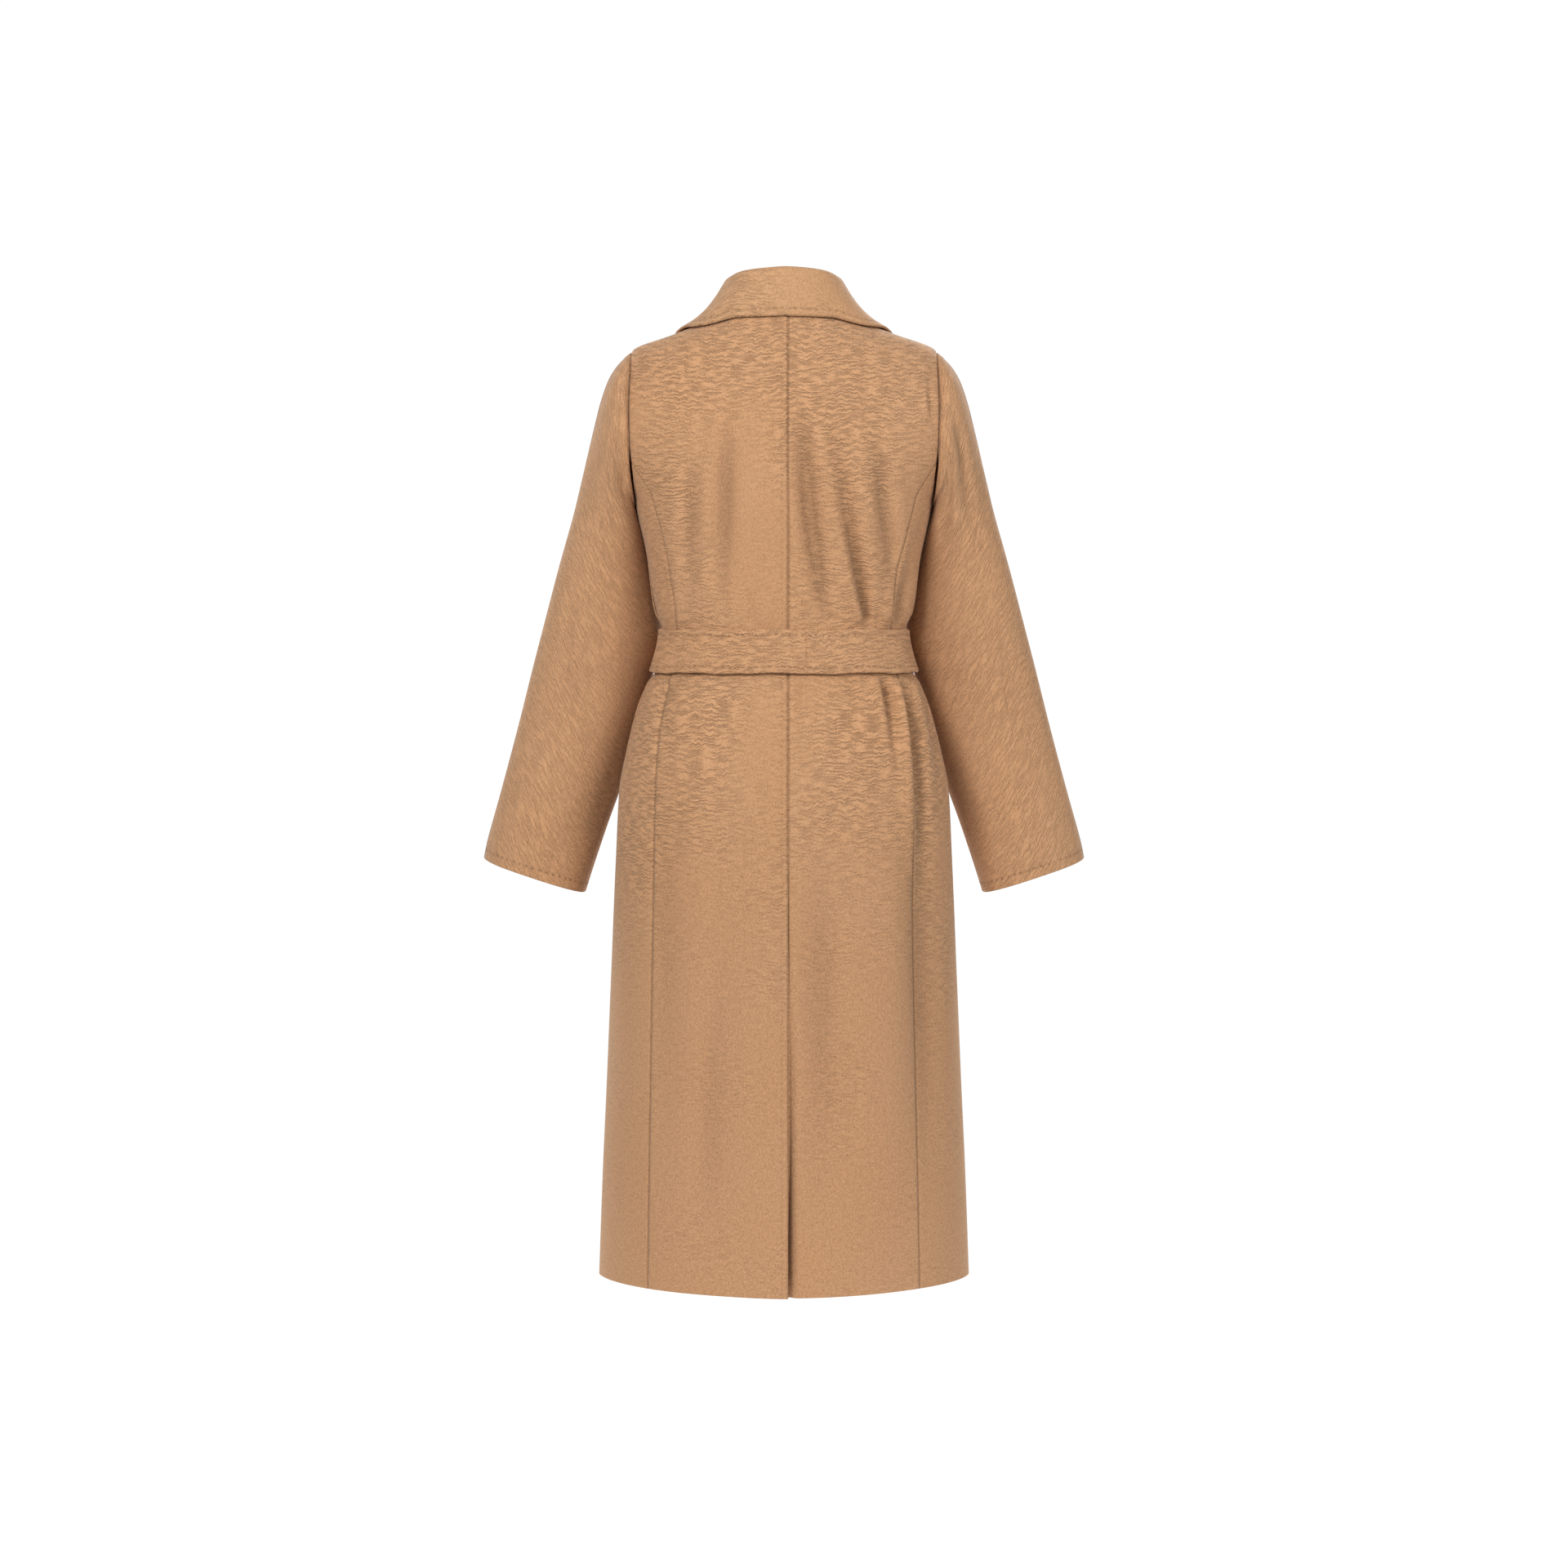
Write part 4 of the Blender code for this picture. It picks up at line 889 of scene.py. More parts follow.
def make_underlap(name, material):
    """The strip of the right back behind the vent, slanted at its top and stitched there."""
    levels = between(HEM + UNDERLAP_SHORTER, VENT_TOP, ROW_STEP, fine_start=True)
    across = between(BACK_SEAM - UNDERLAP_BEHIND, UNDERLAP, COLUMN_STEP, fine_end=True)
    slope = UNDERLAP_SLOPE * np.clip(across, 0, None)[None, :]
    share = ease(levels[0], levels[-1], levels)[:, None]
    level = levels[:, None] - slope * share
    here = across[None, :] + 0 * level
    angle = angle_at_back(here, level)
    hanging = 1 - ease(HEM, VENT_LIFT_FROM, level)
    tuck = VENT_TUCK * hanging * (1 - ease(*UNDERLAP_HELD, here))
    deep = creases(BACK_CREASES, here, level) + CLOTH + LAP_GAP + tuck
    face, out = cloth_out(angle, level, deep)
    cloth = Cloth(name, face, out, CLOTH, across=here, along=face[..., 2])
    cloth.ripple = 0.4
    return cloth.edges(start=1.0, end=0.0, bottom=0.0, top=0.0).build(material)


def make_side_back(name, side, material):
    columns = shares(SIDE_BACK_WIDTH, COLUMN_STEP)
    top = armhole_levels(NOTCH_TURN + (math.pi - NOTCH_TURN) * columns)
    seam_at_top = princess_angle(top)
    top_share = (armhole_angle(top, True) - seam_at_top) / (math.pi / 2 - seam_at_top)
    lower = lower_rows()
    rise = shares(CHEST_LENGTH, ROW_STEP, False, True)[:, None]
    level = np.concatenate(
        [np.repeat(lower[:, None], len(columns), axis=1), BELT_TOP + (top - BELT_TOP) * rise]
    )
    climb = np.concatenate([np.zeros((len(lower), 1)), rise**2])
    share = columns + (top_share - columns) * climb
    seam = princess_angle(level)
    angle = seam + (math.pi / 2 - seam) * share
    plain = body_point(side * angle, level)
    across, height = plain[..., 0], plain[..., 2]
    drawn = pressed(back_drawn_in(plain) * (1 - ease(*SIDE_CREASES_END, share)), level)
    face, out = cloth_out(side * angle, level, drawn)
    cloth = Cloth(name, face, out, CLOTH, along=height, parted=True)
    cloth.ripple = ripple_on_back(across, height)
    cloth.drawn_in = drawn
    return cloth.edges(start=1.0, end=1.0, bottom=0.0, top=1.0).build(material)


def make_front(name, side, over, material):
    levels = np.concatenate(
        [
            lower_rows(),
            between(BELT_TOP, UNDERARM, ROW_STEP)[:-1],
            armhole_rows(math.pi),
            yoke_rows(),
        ]
    )
    columns = shares(FRONT_WIDTH, COLUMN_STEP * 1.25)
    level = np.repeat(levels[:, None], len(columns), axis=1)
    start = front_side_edge(levels)[:, None]
    end = angle_at_front(column(WRAP, "past", levels), levels)[:, None]
    angle = start + (end - start) * columns[None, :]
    plain = body_point(angle, level)
    across, height = plain[..., 0], plain[..., 2]
    own_side = 1 - ease(*FRONT_CREASES_END, angle)
    drawn = creases(FRONT_CREASES, np.abs(across), height)
    drawn = pressed((drawn + soft_waves(side * across, height, FRONT_WAVES)) * own_side, level)
    lift = over_lift(angle, level) if over else 0.0
    face, out = cloth_out(side * angle, level, drawn - lift)
    cloth = Cloth(name, face, out, CLOTH, along=height, parted=True)
    cloth.ripple = 0.5
    cloth.drawn_in = drawn
    above_belt = ease(BELT_BOTTOM, BELT_TOP, level)
    return cloth.edges(start=1.0, end=above_belt, bottom=0.0, top=1.0).build(material)


# ---------------------------------------------------------------- sleeves


def sleeve_rings(turn):
    """The sleeve's outline at each row of its table, after the armhole's own edge."""
    start, panel_out = armhole_loop(turn)
    first = start + np.array([1.5 * SEAM, 0, 0])
    return np.stack([first] + [sleeve_ring(row, turn) for row in each_row(SLEEVE)]), panel_out


def make_sleeve(name, side, material):
    turn = np.arange(0, 2 * math.pi - SLEEVE_STEP / 2, SLEEVE_STEP)
    rings, panel_out = sleeve_rings(turn)
    steps = np.linalg.norm(np.diff(rings.mean(axis=1), axis=0), axis=1)
    places, walk = places_along(steps, ROW_STEP, True)
    face = through(rings, places)
    middle = face.mean(axis=1, keepdims=True)
    out = tube_normals(face, face - middle)
    underarm = ease(0.1, 0.8, -np.cos(turn))[:, None]
    joined = panel_out * (1 - underarm) + out[4] * underarm
    below_seam = ease(0.0, SLEEVE_HEAD, walk)[:, None]
    near_start = (1 - below_seam)[..., None]
    out = out * (1 - near_start) + joined[None] * near_start
    out = out / np.linalg.norm(out, axis=-1, keepdims=True)
    degrees = np.degrees(turn)[None, :] + 0 * face[..., 0]
    height = face[..., 2]
    rows = SLEEVE_CREASES_LEFT if side > 0 else SLEEVE_CREASES_RIGHT
    drawn = creases(rows, degrees, height) + soft_waves(degrees * 0.001, height, SLEEVE_WAVES)
    drawn = drawn * below_seam
    face = face - out * drawn[..., None]
    mirror = np.array([side, 1, 1])
    round_it = SLEEVE_ROUND * degrees / 360
    cloth = Cloth(name, face * mirror, out * mirror, CLOTH, round_it, closed=True, parted=True)
    cloth.ripple = 0.60 + 0.25 * np.cos(np.radians(degrees - 60))
    cloth.drawn_in = drawn
    return cloth.edges(bottom=1.0, top=0.0).build(material)


# ---------------------------------------------------------------- collar, lapels and belt


def finer(name, face, under, thick, stretch):
    """A sheet of cloth through coarse sections, from its outer edge to its foot, made smooth."""
    steps = np.linalg.norm(np.diff(face, axis=0), axis=-1).mean(axis=1)
    places, _ = places_along(steps, stretch, False)
    out = through(face - under, places)
    out = out / np.linalg.norm(out, axis=-1, keepdims=True)
    return Cloth(name, through(face, places) + out * COLLAR_PLUMP, out, thick)


def make_collar(name, material):
    reach = COLLAR["degrees"][-1]
    degrees = -reach + 2 * reach * shares(COLLAR_LENGTH, COLLAR_STEP)
    sections = [collar_section(place) for place in degrees]
    face = np.stack([section[0] for section in sections], axis=1)
    under = np.stack([section[1] for section in sections], axis=1)
    cloth = finer(name, face, under, COLLAR_CLOTH + COLLAR_PLUMP, COLLAR_STEP)
    waves = soft_waves(cloth.face[..., 0], cloth.face[..., 2], COLLAR_WAVES)
    cloth.face = cloth.face + cloth.out * waves[..., None]
    cloth.across = cloth.face[..., 0]
    cloth.ripple = 0.30 + 0.5 * ease(0.02, -0.05, -cloth.face[..., 0])
    cloth.edges(start=1.0, end=1.0, bottom=0.0, top=1.0)
    return cloth.build(material)


def lapel_sections(side, over, rows):
    """Coarse sections of a lapel at fine rows: its fall, its soft fold and what lies inside."""
    stations = np.arange(len(LAPEL["rise"]), dtype=float)
    length = np.cumsum(np.hypot(np.gradient(LAPEL["roll_past"]), np.gradient(LAPEL["roll_level"])))
    closer_at_top = length[0] + (length[-1] - length[0]) * rows**LAPEL_CLOSER
    along = smooth(length, stations, closer_at_top)
    read = {key: smooth(stations, values, along) for key, values in LAPEL.items()}
    columns = spread(1, 0, LAPEL_COLUMNS)
    past = read["edge_past"] + (read["roll_past"] - read["edge_past"]) * (1 - columns)[:, None]
    level = read["edge_level"] + (read["roll_level"] - read["edge_level"]) * (1 - columns)[:, None]
    angle = angle_at_front(past, level)
    at_collar = math.radians(COLLAR["degrees"][-1])
    angle = angle + (at_collar - angle[:, :1]) * (1 - ease(0.0, 1.5, along))
    below = over_lift(angle, level) if over else 0.0 * angle
    mirrored = side * angle
    neck_like = 1 - ease(0.0, 2.5, along)
    face, under = [], []
    for j in range(len(along)):
        normal = body_normal(mirrored[-1, j], level[-1, j])
        up = unit(normal + (np.array([0.0, 0.0, 1.0]) - normal) * neck_like[j])
        roll = body_point(mirrored[-1, j], level[-1, j]) + normal * (below[-1, j] + LAPEL_FOOT_GAP)
        outward = on_body(mirrored[-2, j], level[-2, j], below[-2, j]) - roll
        outward = unit(outward - up * float(outward @ up))
        rise = read["rise"][j]
        radius = LAPEL_RADIUS + (COLLAR_RADIUS - LAPEL_RADIUS) * neck_like[j]
        thick = LAPEL_CLOTH + (COLLAR_CLOTH - LAPEL_CLOTH) * neck_like[j]
        foot = roll + outward * radius
        share = 1 - columns[:-1]
        spare = (rise + LAPEL_FOOT_GAP - LAPEL_GAP - thick) * ease(0.1, 1.0, share)
        lift = below[:-1, j] + LAPEL_GAP + thick + spare
        fall = on_body(mirrored[:-1, j], level[:-1, j], lift)
        fall_normal = body_normal(mirrored[:-1, j], level[:-1, j])
        fold, fold_under = fold_over(
            foot, outward, up, rise, radius, thick, unit(fall[-1] - foot - up * (rise - radius))
        )
        face.append(list(fall) + fold)
        under.append(list(fall - fall_normal * thick) + fold_under)
    face = np.array(face).transpose(1, 0, 2)
    under = np.array(under).transpose(1, 0, 2)
    return trim(face, under, COLLAR_SEAM)


def make_lapel(name, side, over, material):
    face, under = lapel_sections(side, over, shares(LAPEL_LENGTH, COLLAR_STEP))
    cloth = finer(name, face, under, LAPEL_CLOTH + COLLAR_PLUMP, COLLAR_STEP)
    cloth.across = cloth.face[..., 0]
    cloth.along = cloth.face[..., 2]
    cloth.ripple = 0.4
    cloth.edges(start=1.0, end=0.0, bottom=0.0, top=1.0)
    return cloth.build(material)


def make_belt(name, start, end, material):
    angles = start + (end - start) * shares(BELT_LENGTH, COLUMN_STEP)
    levels = between(BELT_BOTTOM + BELT_TRIM, BELT_TOP - BELT_TRIM, BELT_STEP, True, True)
    angle, level = np.meshgrid(angles, levels)
    wobble = 0.0007 * np.sin(9 * angle + 1.0) + 0.0004 * np.sin(23 * angle)
    level = level + wobble
    lift = belt_lift(angle) + BELT_CLOTH + soft_waves(angle * 0.16, level, BELT_WAVES)
    face, out = on_body(angle, level, lift), body_normal(angle, level)
    cloth = Cloth(name, face, out, BELT_CLOTH, across=face[..., 0], along=face[..., 2])
    cloth.ripple = 0.75
    cloth.edges(start=1.0, end=1.0, bottom=0.0, top=0.0)
    return cloth.build(material)


def make_knot(name, material):
    """The tie: a rounded wrap of belt, drawn in where its layers fold over one another."""
    u, v = np.meshgrid(np.linspace(-1, 1, KNOT_COLUMNS), np.linspace(-1, 1, KNOT_ROWS))
    waist = 1 - KNOT_WAIST * (1 - v**2)
    across = KNOT_AT + 0.5 * KNOT_WIDTH * u * waist
    level = 0.5 * (BELT_BOTTOM + BELT_TOP) + (0.5 * (BELT_TOP - BELT_BOTTOM) + KNOT_TALLER) * v
    angle = angle_at_front(-across, level)
    base = belt_lift(angle) + BELT_CLOTH + LAP_GAP
    pillow = ((1 - np.abs(u) ** 3) * (1 - np.abs(v) ** 3)) ** 0.5
    folds = 0
    for tilt, place, deep, wide in KNOT_CREASES:
        folds = folds + deep * np.exp(-(((u + tilt * v - place) / wide) ** 2))
    lift = base + KNOT_RIM + KNOT_DEPTH * pillow - folds * pillow
    face, out = on_body(angle, level, lift), body_normal(angle, level)
    under = on_body(angle, level, base)
    cloth = Cloth(name, face, out, KNOT_CLOTH, across=across, along=level)
    cloth.sides = lambda: (face, under)
    cloth.ripple = 0.25
    cloth.drawn_in = folds
    return cloth.build(material)


def make_tail(name, top_across, end_across, lift_top, material):
    top = BELT_BOTTOM - TAIL_BELOW
    levels = between(top - TAIL_LENGTH, top, TAIL_STEP, True, False)
    wide = TAIL_WIDTH * (shares(TAIL_WIDTH, TAIL_STEP) - 0.5)
    level = np.repeat(levels[:, None], len(wide), axis=1)
    down = (top - level) / TAIL_LENGTH
    gather = 1 - TAIL_GATHER * (1 - ease(0.0, 0.14, down))
    across = top_across + (end_across - top_across) * down + wide[None, :] * gather
    angle = angle_at_front(-across, level)
    lift = OVER_SKIRT + TAIL_STANDS + lift_top * (1 - ease(0.0, 0.55, down)) + BELT_CLOTH
    lift = lift + TAIL_SWAY * np.sin(17 * down + 5 * top_across) * ease(0.05, 0.4, down)
    fluted = np.cos(2 * math.pi * wide / TAIL_WIDTH * 1.5)
    lift = lift + TAIL_FLUTE * (1 - ease(0.0, 0.2, down)) * fluted
    face, out = on_body(angle, level, lift + TAIL_FULL), body_normal(angle, level)
    cloth = Cloth(name, face, out, BELT_CLOTH, across=across, along=level)
    cloth.ripple = 0.4
    cloth.edges(start=0.0, end=0.0, bottom=0.0, top=1.0)
    return cloth.build(material)


# ---------------------------------------------------------------- stitches


def on_line(at, walk, line):
    """The three numbers of a line at a distance walked along it."""
    return np.array([np.interp(at, walk, line[:, k]) for k in range(3)])


def line_beside(cloth, edge, distance):
    """Points on the cloth's face at a distance from one edge, and the way out of it there."""
    walked_to = {
        "start": cloth.from_start,
        "end": cloth.from_end[:, ::-1],
        "bottom": cloth.from_bottom.T,
        "top": cloth.from_top.T[:, ::-1],
    }[edge]
    face, out = cloth.face, cloth.out
    if edge in ("bottom", "top"):
        face, out = face.transpose(1, 0, 2), out.transpose(1, 0, 2)
    if edge in ("end", "top"):
        face, out = face[:, ::-1], out[:, ::-1]
    points, ways = [], []
    for walk, line, normals in zip(walked_to, face, out):
        points.append(on_line(distance, walk, line))
        ways.append(on_line(distance, walk, normals))
    return np.array(points), np.array(ways)


def vent_line(cloth):
    """The slanted row across the top of the vent, which holds its underlap."""
    across = np.linspace(BACK_SEAM + 0.002, UNDERLAP - 0.002, 24)
    level = VENT_STITCH_TOP - UNDERLAP_SLOPE * (across - BACK_SEAM)
    points, ways = [], []
    flat_face, flat_out = cloth.face.reshape(-1, 3), cloth.out.reshape(-1, 3)
    for x, z in zip(across, level):
        far = np.hypot(flat_face[:, 0] - x, flat_face[:, 2] - z)
        near = np.argsort(far)[:4]
        weight = 1 / (far[near] + 0.0002)
        weight = weight / weight.sum()
        points.append([x, flat_face[near, 1] @ weight, z])
        ways.append(weight @ flat_out[near])
    return np.array(points), np.array(ways)


def stitches(name, lines, material):
    """Small stitches along lines, each a short thread that dips into the cloth at both ends."""
    around = np.arange(6) * math.pi / 3
    shape = [(-1.0, 0.25), (-0.55, 0.85), (0.0, 1.0), (0.55, 0.85), (1.0, 0.25)]
    points, faces = [], []
    for (line, out), pitch in lines:
        length = np.concatenate([[0], np.cumsum(np.linalg.norm(np.diff(line, axis=0), axis=1))])
        for at in np.arange(0.5 * pitch, length[-1], pitch):
            at = at + 0.08 * pitch * math.sin(at * 1931.0)
            here = on_line(at, length, line)
            way = unit(on_line(at + 0.001, length, line) - on_line(at - 0.001, length, line))
            up = unit(on_line(at, length, out))
            beside = np.cross(way, up)
            first = len(points)
            for step, full in shape:
                centre = here + way * STITCH_LENGTH * 0.5 * step
                centre = centre + up * STITCH_RADIUS * (0.35 - 0.9 * step * step)
                for turn in around:
                    ring = beside * math.cos(turn) + up * math.sin(turn)
                    points.append(centre + ring * STITCH_RADIUS * full)
            for row in range(len(shape) - 1):
                for k in range(6):
                    a = first + row * 6 + k
                    b = first + row * 6 + (k + 1) % 6
                    faces.append((a, b, b + 6, a + 6))
            last = first + 6 * (len(shape) - 1)
            faces.append([first + k for k in (5, 4, 3, 2)])
            faces.append([first + k for k in (5, 2, 1, 0)])
            faces.append([last + k for k in (0, 1, 2, 3)])
            faces.append([last + k for k in (0, 3, 4, 5)])
    piece = new_piece(name, points, faces, material)
    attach(piece, "root")
    return piece


# ---------------------------------------------------------------- materials


class Value:
    """A shader socket that can be used in Python expressions."""

    def __init__(self, nodes, socket):
        self.nodes, self.socket = nodes, socket

    def math(self, operation, other=None, swapped=False):
        inputs = [self, other] if not swapped else [other, self]
        given = {i: value for i, value in enumerate(inputs) if value is not None}
        return self.nodes.add("ShaderNodeMath", {"operation": operation}, given)

    def __add__(self, other):
        return self.math("ADD", other)

    __radd__ = __add__

    def __sub__(self, other):
        return self.math("SUBTRACT", other)

    def __rsub__(self, other):
        return self.math("SUBTRACT", other, swapped=True)

    def __mul__(self, other):
        return self.math("MULTIPLY", other)

    __rmul__ = __mul__

    def __truediv__(self, other):
        return self.math("DIVIDE", other)

    def __neg__(self):
        return self * -1.0

    def __pow__(self, other):
        return self.math("POWER", other)

    def absolute(self):
        return self.math("ABSOLUTE")

    def sine(self):
        return self.math("SINE")

    def soft_step(self, low, high):
        """0 below low and 1 above high, with a soft change between them."""
        settings = {"interpolation_type": "SMOOTHSTEP", "clamp": True}
        return self.nodes.add("ShaderNodeMapRange", settings, {0: self, 1: low, 2: high})

    def hump(self, centre, width):
        """1 at the centre, falling softly to 0 a width away on both sides."""
        return 1 - ((self - centre).absolute() / width).soft_step(0.0, 1.0)


class Nodes:
    """The nodes of one material."""

    def __init__(self, material):
        self.tree = material.node_tree

    def add(self, kind, settings=None, inputs=None, output=0):
        node = self.tree.nodes.new(kind)
        for name, value in (settings or {}).items():
            setattr(node, name, value)
        for name, value in (inputs or {}).items():
            self.feed(node.inputs[name], value)
        return Value(self, node.outputs[output])

    def feed(self, socket, value):
        if isinstance(value, Value):
            self.tree.links.new(value.socket, socket)
        else:
            socket.default_value = value

    def read(self, name):
        """The three numbers stored at the cloth's points under a name."""
        stored = self.add("ShaderNodeAttribute", {"attribute_name": name}, output="Vector")
        parts = self.tree.nodes.new("ShaderNodeSeparateXYZ")
        self.tree.links.new(stored.socket, parts.inputs[0])
        return [Value(self, parts.outputs[i]) for i in range(3)]

    def vector(self, x, y, z=0.0):
        return self.add("ShaderNodeCombineXYZ", None, {0: x, 1: y, 2: z})

    def noise(self, place, detail=2.0, roughness=0.5):
        """Noise about 0, mostly between -1 and 1."""
        settings = {"noise_dimensions": "2D"}
        inputs = {"Vector": place, "Scale": 1.0, "Detail": detail, "Roughness": roughness}
        found = self.add("ShaderNodeTexNoise", settings, inputs, output="Fac")
        return (found - 0.5) * 2.6

    def mix(self, share, first, second, blend="MIX"):
        node = self.tree.nodes.new("ShaderNodeMix")
        node.data_type, node.blend_type = "RGBA", blend
        for place, value in ((0, share), (6, first), (7, second)):
            self.feed(node.inputs[place], value)
        return Value(self, node.outputs[2])


def new_material(name):
    """A material, its nodes and its shader."""
    material = bpy.data.materials.new(name)
    material.use_nodes = True
    nodes = Nodes(material)
    return material, nodes, nodes.tree.nodes["Principled BSDF"]


def set_values(shader, values):
    for name, value in values.items():
        shader.inputs[name].default_value = value


def shade(colour, amount):
    """The same colour, lighter or darker."""
    return (*[channel * amount for channel in colour], 1.0)


def wool(name, colour, grooves=(), ripple=1.0, offset=0.0):
    """Brushed wool with a fine wavy ripple across it, a nap down it and pick stitches in grooves.

    A groove is an edge, its distance from it, the pitch of the stitches in it, and how strong it is.
    The colour is painted with light and shade: lighter on the ripple's crests, darker in its troughs, in
    creases, just below the belt and towards the hem.
    """
    material, nodes, shader = new_material(name)
    across, along, _ = nodes.read("cloth")
    from_start, from_end, rippled = nodes.read("beside")
    from_bottom, from_top, painted_shade_depth = nodes.read("ends")
    across = across + offset
    zigzag = nodes.noise(nodes.vector(across * 150.0, along * 30.0), 1.0)
    slow = nodes.noise(nodes.vector(across * 13.0, along * 11.0), 1.0)
    bent = along + zigzag * 0.0023 + slow * 0.0050
    crests = nodes.noise(nodes.vector(across * 62.0, bent * 500.0), 0.5, 0.4)
    crests = crests.soft_step(-0.58, 0.30) * 1.9 - 1.15
    patches = nodes.noise(nodes.vector(across * 9.0 + 7.3, along * 10.0), 2.0)
    strength = (rippled + patches * 0.30).soft_step(0.02, 0.95) * ripple
    relief = crests * strength
    nap = nodes.noise(nodes.vector(across * 520.0, along * 360.0), 2.0, 0.65)
    felt = nodes.noise(nodes.vector(across * 210.0, along * 170.0), 2.0, 0.55)
    cloudy = nodes.noise(nodes.vector(across * 5.0, along * 4.0), 2.0)
    distances = {"start": from_start, "end": from_end, "bottom": from_bottom, "top": from_top}
    groove = 0.0 * across
    for edge, distance, pitch, strong in grooves:
        line = distances[edge].hump(distance, 0.0030)
        if pitch:
            runs = along if edge in ("start", "end") else across
            pricks = ((runs * (2 * math.pi / pitch)).sine() * 0.5 + 0.5).soft_step(0.45, 0.95)
            line = line * (0.35 + pricks * 0.65)
        groove = groove + line * strong
    # Painted shade: the colour is darkened where the cloth is drawn in, in its creases, in the knot's
    # folds and just below the belt.
    deep = (painted_shade_depth * 120.0).soft_step(0.0, 1.0)
    # Painted shade: the cloth is painted darker from below the belt down towards the hem, where less
    # light falls.
    low = 1.0 - along.soft_step(-0.80, -0.42)
    # Painted highlight and shade: the ripple's relief goes into the colour as well as the bump, its
    # crests painted lighter and its troughs painted darker.
    light = 1.0 + relief * 0.200 + nap * 0.270 + felt * 0.090 + cloudy * 0.025
    light = light - groove * 0.20 - deep * 0.26 - low * 0.07
    tone = nodes.mix((light - 0.6) / 0.8, shade(colour, 0.6), shade(colour, 1.4))
    warmth = (cloudy * 0.5 + felt * 0.4 + 0.5).soft_step(0.0, 1.0)
    hue = nodes.mix(warmth, (1.01, 0.99, 0.965, 1.0), (0.99, 1.005, 1.03, 1.0))
    height = relief * 0.00048 + nap * 0.00015 + felt * 0.00010 - groove * 0.00060
    bump = nodes.add(
        "ShaderNodeBump", None, {"Strength": 1.0, "Distance": 1.0, "Height": height}, "Normal"
    )
    nodes.feed(shader.inputs["Base Color"], nodes.mix(1.0, tone, hue, "MULTIPLY"))
    nodes.feed(shader.inputs["Roughness"], 0.86 + nap * 0.04 - relief * 0.03)
    nodes.feed(shader.inputs["Normal"], bump)
    soft = {"Specular IOR Level": 0.22, "Sheen Weight": 0.22, "Sheen Roughness": 0.45}
    set_values(shader, soft | {"Sheen Tint": (1.0, 0.86, 0.70, 1.0)})
    return material


def thread(name, colour):
    """Stitching thread, twisted, in the cloth's own colour."""
    material, nodes, shader = new_material(name)
    place = nodes.add("ShaderNodeTexCoord", None, None, "Object")
    inputs = {"Vector": place, "Scale": 900.0, "Detail": 1.0}
    speck = nodes.add("ShaderNodeTexNoise", None, inputs, output="Fac")
    nodes.feed(shader.inputs["Base Color"], nodes.mix(speck, shade(colour, 0.8), shade(colour, 1.15)))
    set_values(shader, {"Roughness": 0.7})
    return material


# ---------------------------------------------------------------- the coat


def dress_coat():
    """Every piece of the coat, by the name of its solid."""
    coat = {}

    def keep(cloth):
        coat[cloth.name] = cloth

    for side, word in ((1, "left"), (-1, "right")):
        over = word == "right"
        grooves = BACK_GROOVES if side > 0 else BACK_GROOVES[1:]
        cloth = wool(f"back {word} wool", BODY_COLOUR, grooves, offset=0.37 * side)
        keep(make_back(f"back_{word}", side, cloth))
        cloth = wool(f"side back {word} wool", BODY_COLOUR, SIDE_BACK_GROOVES, offset=0.81 * side)
        keep(make_side_back(f"side_back_{word}", side, cloth))
        cloth = wool(f"front {word} wool", BODY_COLOUR, FRONT_GROOVES, offset=1.3 * side)
        keep(make_front(f"front_{word}", side, over, cloth))
        cloth = wool(f"sleeve {word} wool", BODY_COLOUR, CUFF_GROOVES, 0.6, 2.1 * side)
        keep(make_sleeve(f"sleeve_{word}", side, cloth))
        cloth = wool(f"lapel {word} wool", COLLAR_COLOUR, COLLAR_GROOVES, 0.8, 4.1 * side)
        keep(make_lapel(f"lapel_{word}", side, over, cloth))
    cloth = wool("vent underlap wool", BODY_COLOUR, UNDERLAP_GROOVES, offset=3.3)
    keep(make_underlap("vent_underlap", cloth))
    cloth = wool("collar wool", COLLAR_COLOUR, COLLAR_GROOVES, offset=5.2)
    keep(make_collar("collar_neck", cloth))
    middle = 0.5 * (BELT_BOTTOM + BELT_TOP)
    join = float(angle_at_back(BELT_JOIN, middle))
    meet = float(angle_at_front(-KNOT_AT, middle))
    cloth = wool("belt wool", BELT_COLOUR, BELT_GROOVES, 0.9, 6.4)
    keep(make_belt("belt_left", join, meet, cloth))
    keep(make_belt("belt_right", join, meet - 2 * math.pi, cloth))
    keep(make_knot("belt_knot", wool("knot wool", BELT_COLOUR, (), 0.5, 7.7)))
    cloth = wool("belt end wool", BELT_COLOUR, TAIL_GROOVES, 0.7, 8.3)
    keep(make_tail("belt_end_right", 0.006, -0.030, 0.0085, cloth))
    keep(make_tail("belt_end_left", 0.046, 0.092, 0.0145, cloth))
    return coat


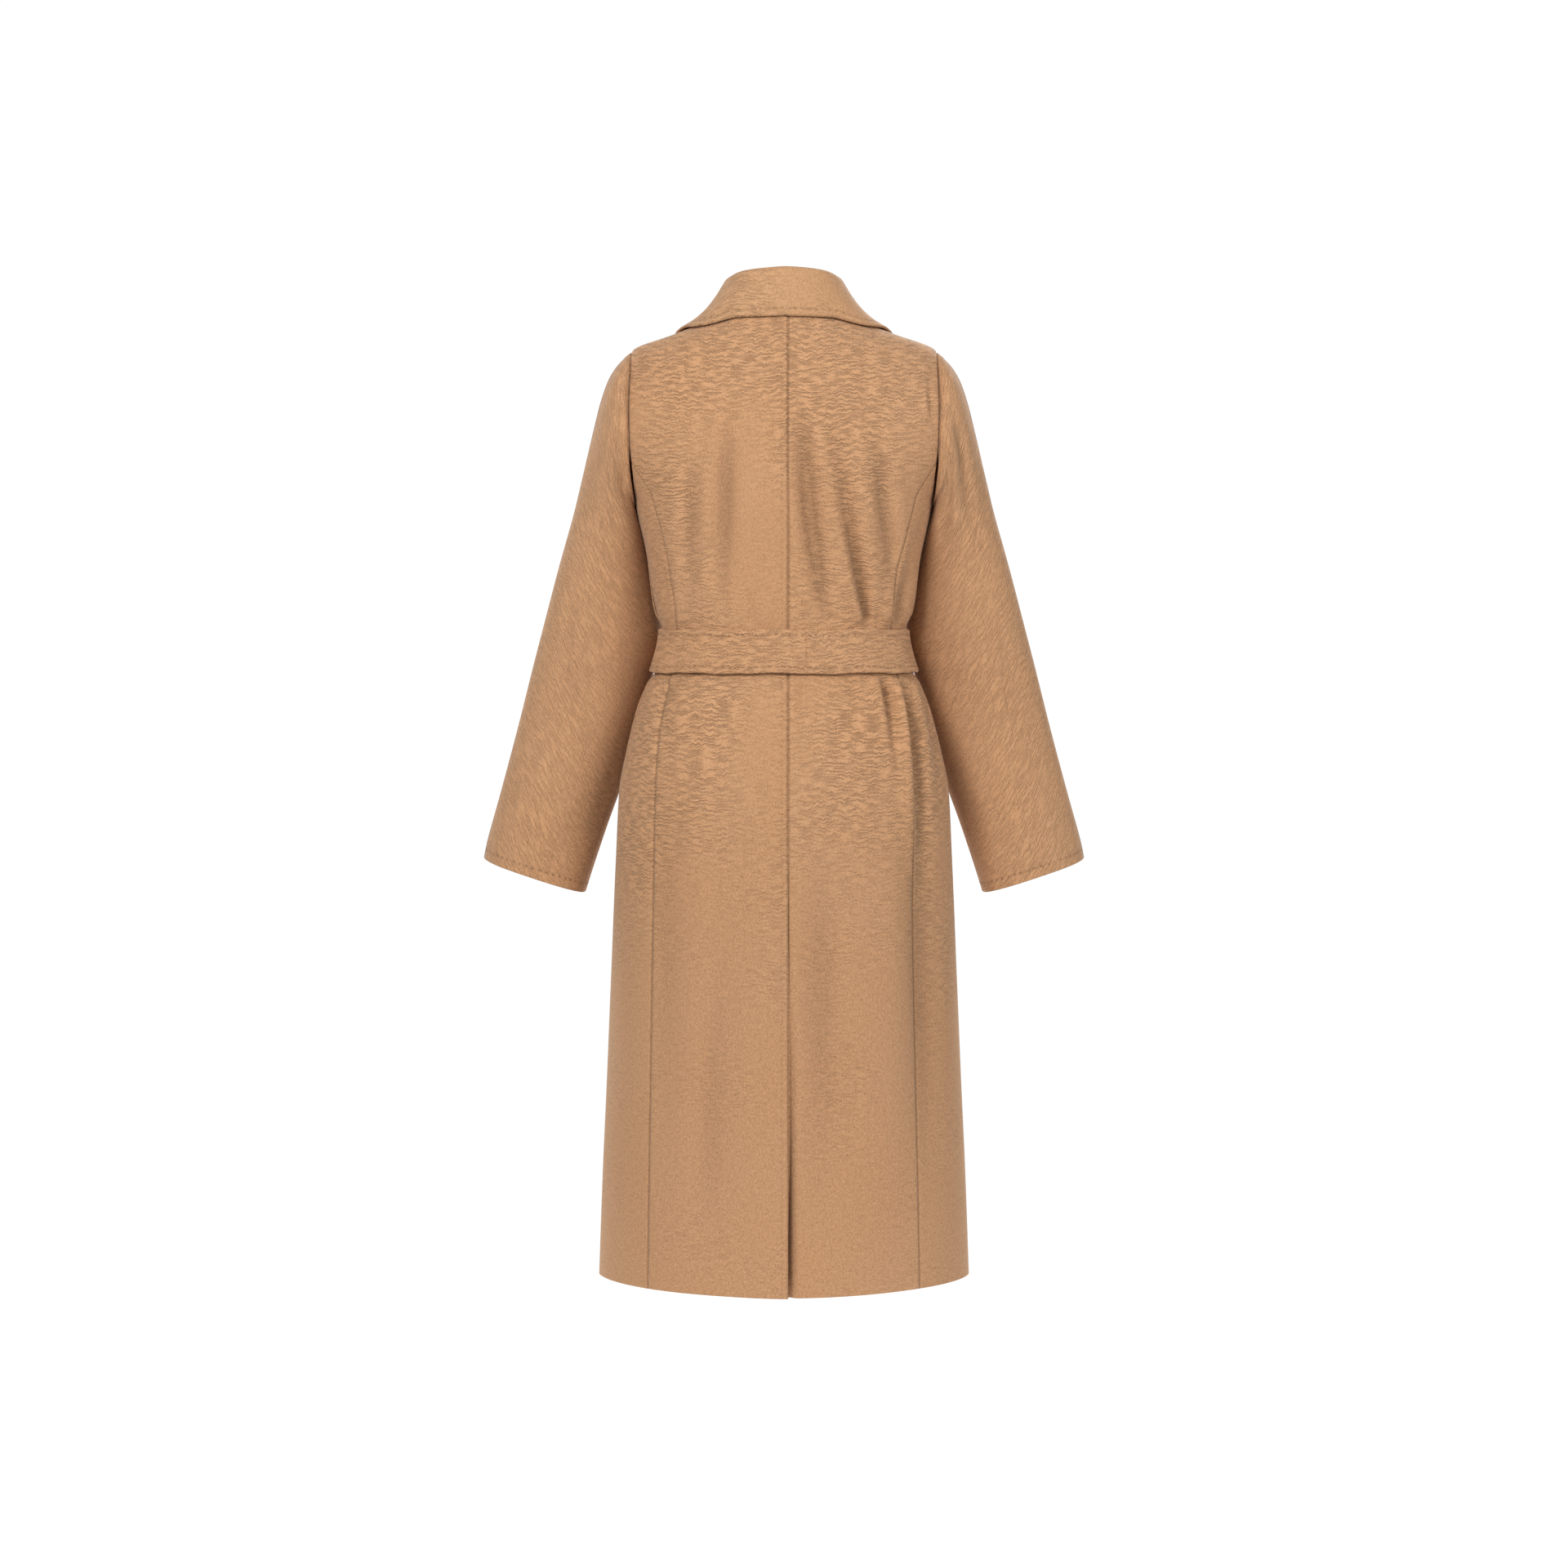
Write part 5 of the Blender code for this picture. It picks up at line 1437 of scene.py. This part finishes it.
def sew_coat(coat):
    """The pick stitches, in the same lines as the grooves that the cloth has for them."""
    sewing = thread("pick stitch thread", THREAD_COLOUR)

    def rows(name, grooves):
        sewn = [row[:3] for row in grooves if row[2]]
        return [(line_beside(coat[name], edge, at), pitch) for edge, at, pitch in sewn]

    belt = rows("belt_left", BELT_GROOVES) + rows("belt_right", BELT_GROOVES)
    sewn_on = {
        "collar": ("collar_neck", rows("collar_neck", COLLAR_GROOVES)),
        "belt": ("belt_left", belt),
        "vent": ("back_left_lower", [(vent_line(coat["back_left"]), VENT_PITCH)]),
    }
    for word in ("left", "right"):
        lapel, end, sleeve = f"lapel_{word}", f"belt_end_{word}", f"sleeve_{word}"
        sewn_on[f"cuff_{word}"] = (sleeve + "_lower", rows(sleeve, CUFF_GROOVES))
        sewn_on[lapel] = (lapel, rows(lapel, COLLAR_GROOVES))
        sewn_on[end] = (end, rows(end, TAIL_GROOVES))
        edge, at, pitch, _ = FRONT_GROOVES[0]
        line, out = line_beside(coat[f"front_{word}"], edge, at)
        in_skirt = line[:, 2] < BELT_BOTTOM - 0.006
        skirt_edge = [((line[in_skirt], out[in_skirt]), pitch)]
        sewn_on[f"front_{word}"] = (f"front_{word}_lower", skirt_edge)
    for name, (part, lines) in sewn_on.items():
        stitches(name + "_stitches", lines, sewing)


# ---------------------------------------------------------------- floor, light and camera


def pale_floor(name):
    """White board that fades into the white behind it, away from the coat."""
    material, nodes, shader = new_material(name)
    place = nodes.add("ShaderNodeTexCoord", None, None, "Object")
    away = nodes.add("ShaderNodeVectorMath", {"operation": "LENGTH"}, {0: place}, "Value")
    board = {"Base Color": (0.9, 0.9, 0.9, 1), "Roughness": 0.9}
    glow = {"Emission Color": (1, 1, 1, 1), "Emission Strength": FLOOR_GLOW}
    set_values(shader, board | glow)
    nodes.feed(shader.inputs["Alpha"], 1.0 - away.soft_step(*FLOOR_FADE))
    return material


def lay_floor():
    points = [(x, y, 0.0) for x, y in ((-FLOOR_REACH, -FLOOR_REACH), (FLOOR_REACH, -FLOOR_REACH))]
    points += [(-x, -y, z) for x, y, z in points]
    floor = new_piece("studio_floor", points, [(0, 1, 2, 3)], pale_floor("floor white"))
    floor.location = (0, 0, FLOOR)


def add_light(name, place, size, power, aim):
    lamp = bpy.data.lights.new(name, "AREA")
    lamp.shape, lamp.size, lamp.energy = "DISK", size, power
    light = bpy.data.objects.new(name, lamp)
    bpy.context.scene.collection.objects.link(light)
    light.location = place
    way = np.array(aim) - np.array(place)
    flat = math.hypot(way[0], way[1])
    light.rotation_euler = (math.atan2(flat, -way[2]), 0, math.atan2(way[1], way[0]) - math.pi / 2)


def light_studio():
    world = bpy.data.worlds.new("studio")
    bpy.context.scene.world = world
    world.use_nodes = True
    tree = world.node_tree
    background = tree.nodes["Background"]
    background.inputs["Color"].default_value = (1, 1, 1, 1)
    seen = tree.nodes.new("ShaderNodeLightPath").outputs["Is Camera Ray"]
    strength = tree.nodes.new("ShaderNodeMapRange")
    strength.inputs["To Min"].default_value = WORLD_LIGHT
    strength.inputs["To Max"].default_value = WORLD_SEEN
    tree.links.new(seen, strength.inputs["Value"])
    tree.links.new(strength.outputs["Result"], background.inputs["Strength"])
    for name, place, size, power in LIGHTS:
        add_light(name, place, size, power, (0, 0, -0.6))
    bpy.context.scene.view_settings.view_transform = "Standard"


def set_camera():
    """The photo's view: square on the back, from a third of the way down it, with a long lens."""
    camera = bpy.data.objects.new("camera", bpy.data.cameras.new("camera"))
    bpy.context.scene.collection.objects.link(camera)
    camera.data.lens, camera.data.sensor_width = LENS, 36
    camera.data.shift_y = CAMERA_SHIFT
    camera.location = CAMERA
    camera.rotation_euler = (math.pi / 2, 0, math.pi)
    bpy.context.scene.camera = camera


coat = dress_coat()
sew_coat(coat)
lay_floor()
light_studio()
set_camera()
